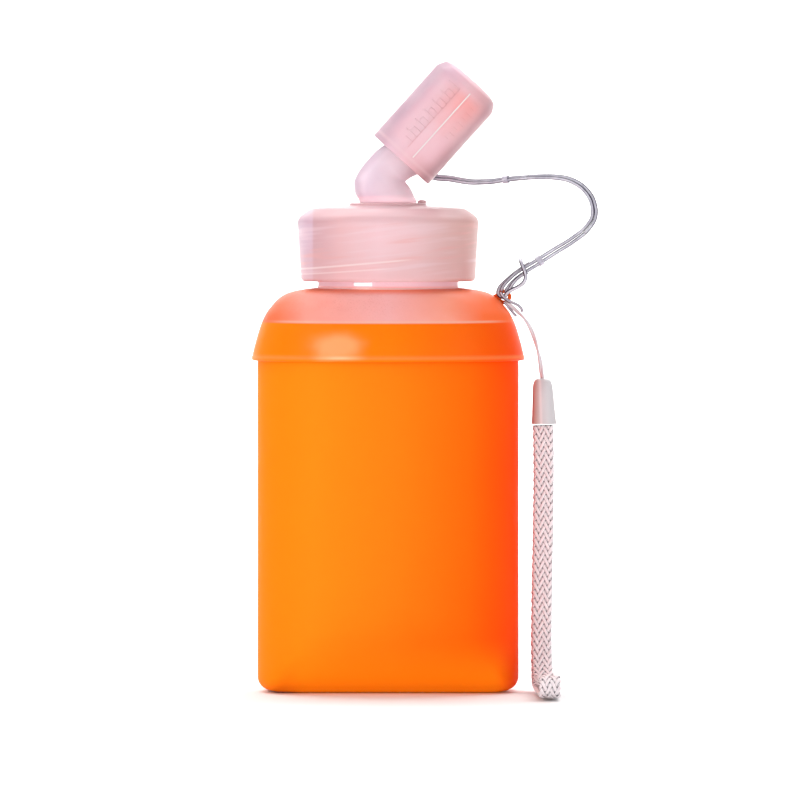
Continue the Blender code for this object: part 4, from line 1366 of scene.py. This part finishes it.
# The first three lie along the cord; the others stay at the eye
tether_fan_strands = add_object("tether_fan_strands", merged("tether_fan_strands", pieces[:3]), clear)
tether_knot_strands = add_object("tether_knot_strands", merged("tether_knot_strands", pieces[3:]), clear)

# ---- Which body each piece goes with -------------------------------------------------------------

# Piece, its body, the node that it replaces, its slot. A piece on a line that parts two bodies has
# those two bodies and the line.
SETTLED = [
    (bag_skin, "bottle", "bag", "bag_silicone"),
    (shoulder_moulding, "bottle", "shoulder_shell", "frosted_shoulder"),
    (lanyard_lug_eye, "bottle", None, "frosted_shoulder"),
    (neck_nib, "bottle", None, "seal_silicone"),
    (clamp_ring, "bottle", "bag_clamp_ring", "ring_plastic"),
    (lid_moulding, "lid", "lid", "lid_plastic"),
    (spout_moulding, "spout", "spout_elbow", "spout_plastic"),
    (mouthpiece_soft, "spout", "mouthpiece", "coral_silicone"),
    (spout_cap_shell, "cap", "spout_cap", "cap_plastic"),
    (cap_front_line, "cap", None, "cap_plastic"),
    (cap_eyelet_loop, "cap", None, "cap_plastic"),
    (cord_end_bell, "bottle", "cord_end", "ferrule_plastic"),
    (sleeve_upper_tube, ("spout", "cap", upper_line), "sleeve_upper", "tether_plastic"),
    (sleeve_lower_tube, ("bottle", "lid_seal", lower_line), "sleeve_lower", "tether_plastic"),
    (tether_fan_strands, ("bottle", "lid_seal", lower_line), None, "tether_plastic"),
    (tether_knot_strands, "bottle", "tether_knot", "tether_plastic"),
    (tether_upper_line, ("spout", "cap", upper_line), "tether_upper", "tether_plastic"),
    (tether_loop_line, ("lid", "spout", loop_line), "tether_loop", "tether_plastic"),
    (tether_lower_line, ("bottle", "lid_seal", lower_line), "tether_lower", "tether_plastic"),
    (strap_string_yarns, "bottle", "strap_string", "string_cotton"),
    (wrist_strap_braid, "bottle", "wrist_strap", "strap_webbing"),
    (strap_core_tape, "bottle", None, "strap_webbing"),
]
for piece, goes_with, node, slot in SETTLED:
    if isinstance(goes_with, str):
        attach(piece, goes_with)
    else:
        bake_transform(piece)
    if node:
        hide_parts(node)

KEPT_NODES = {
    "lid_gasket": seal,
    "spout_oring": seal,
    "spout_retaining_ring": ring_finish,
    "strap_crimp": crimp_metal(),
}
for node, finish in KEPT_NODES.items():
    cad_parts[node].data.materials.clear()
    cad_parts[node].data.materials.append(finish)


def lay_cord(piece, line, leaves_at, diameter, stiffness, lay, **more):
    """Takes a cord's line and measures its length; nothing more is done with the cord."""
    line_length(line)


followers = [sleeve_lower_tube, tether_fan_strands, tether_knot_strands]
lay_cord(tether_upper_line, upper_line, 0, 2.6, "medium", "loose")
lay_cord(tether_loop_line, loop_line, 0, 2.5, "medium", "loose")
lay_cord(tether_lower_line, lower_line, -1, 3.0, "medium", "loose", with_pieces=followers)
lay_cord(strap_string_yarns, string_line, 0, 1.7, "limp", "hanging")
lay_cord(wrist_strap_braid, strap_line, 0, 8.0, "limp", "hanging", with_pieces=[strap_core_tape])

low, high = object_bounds()
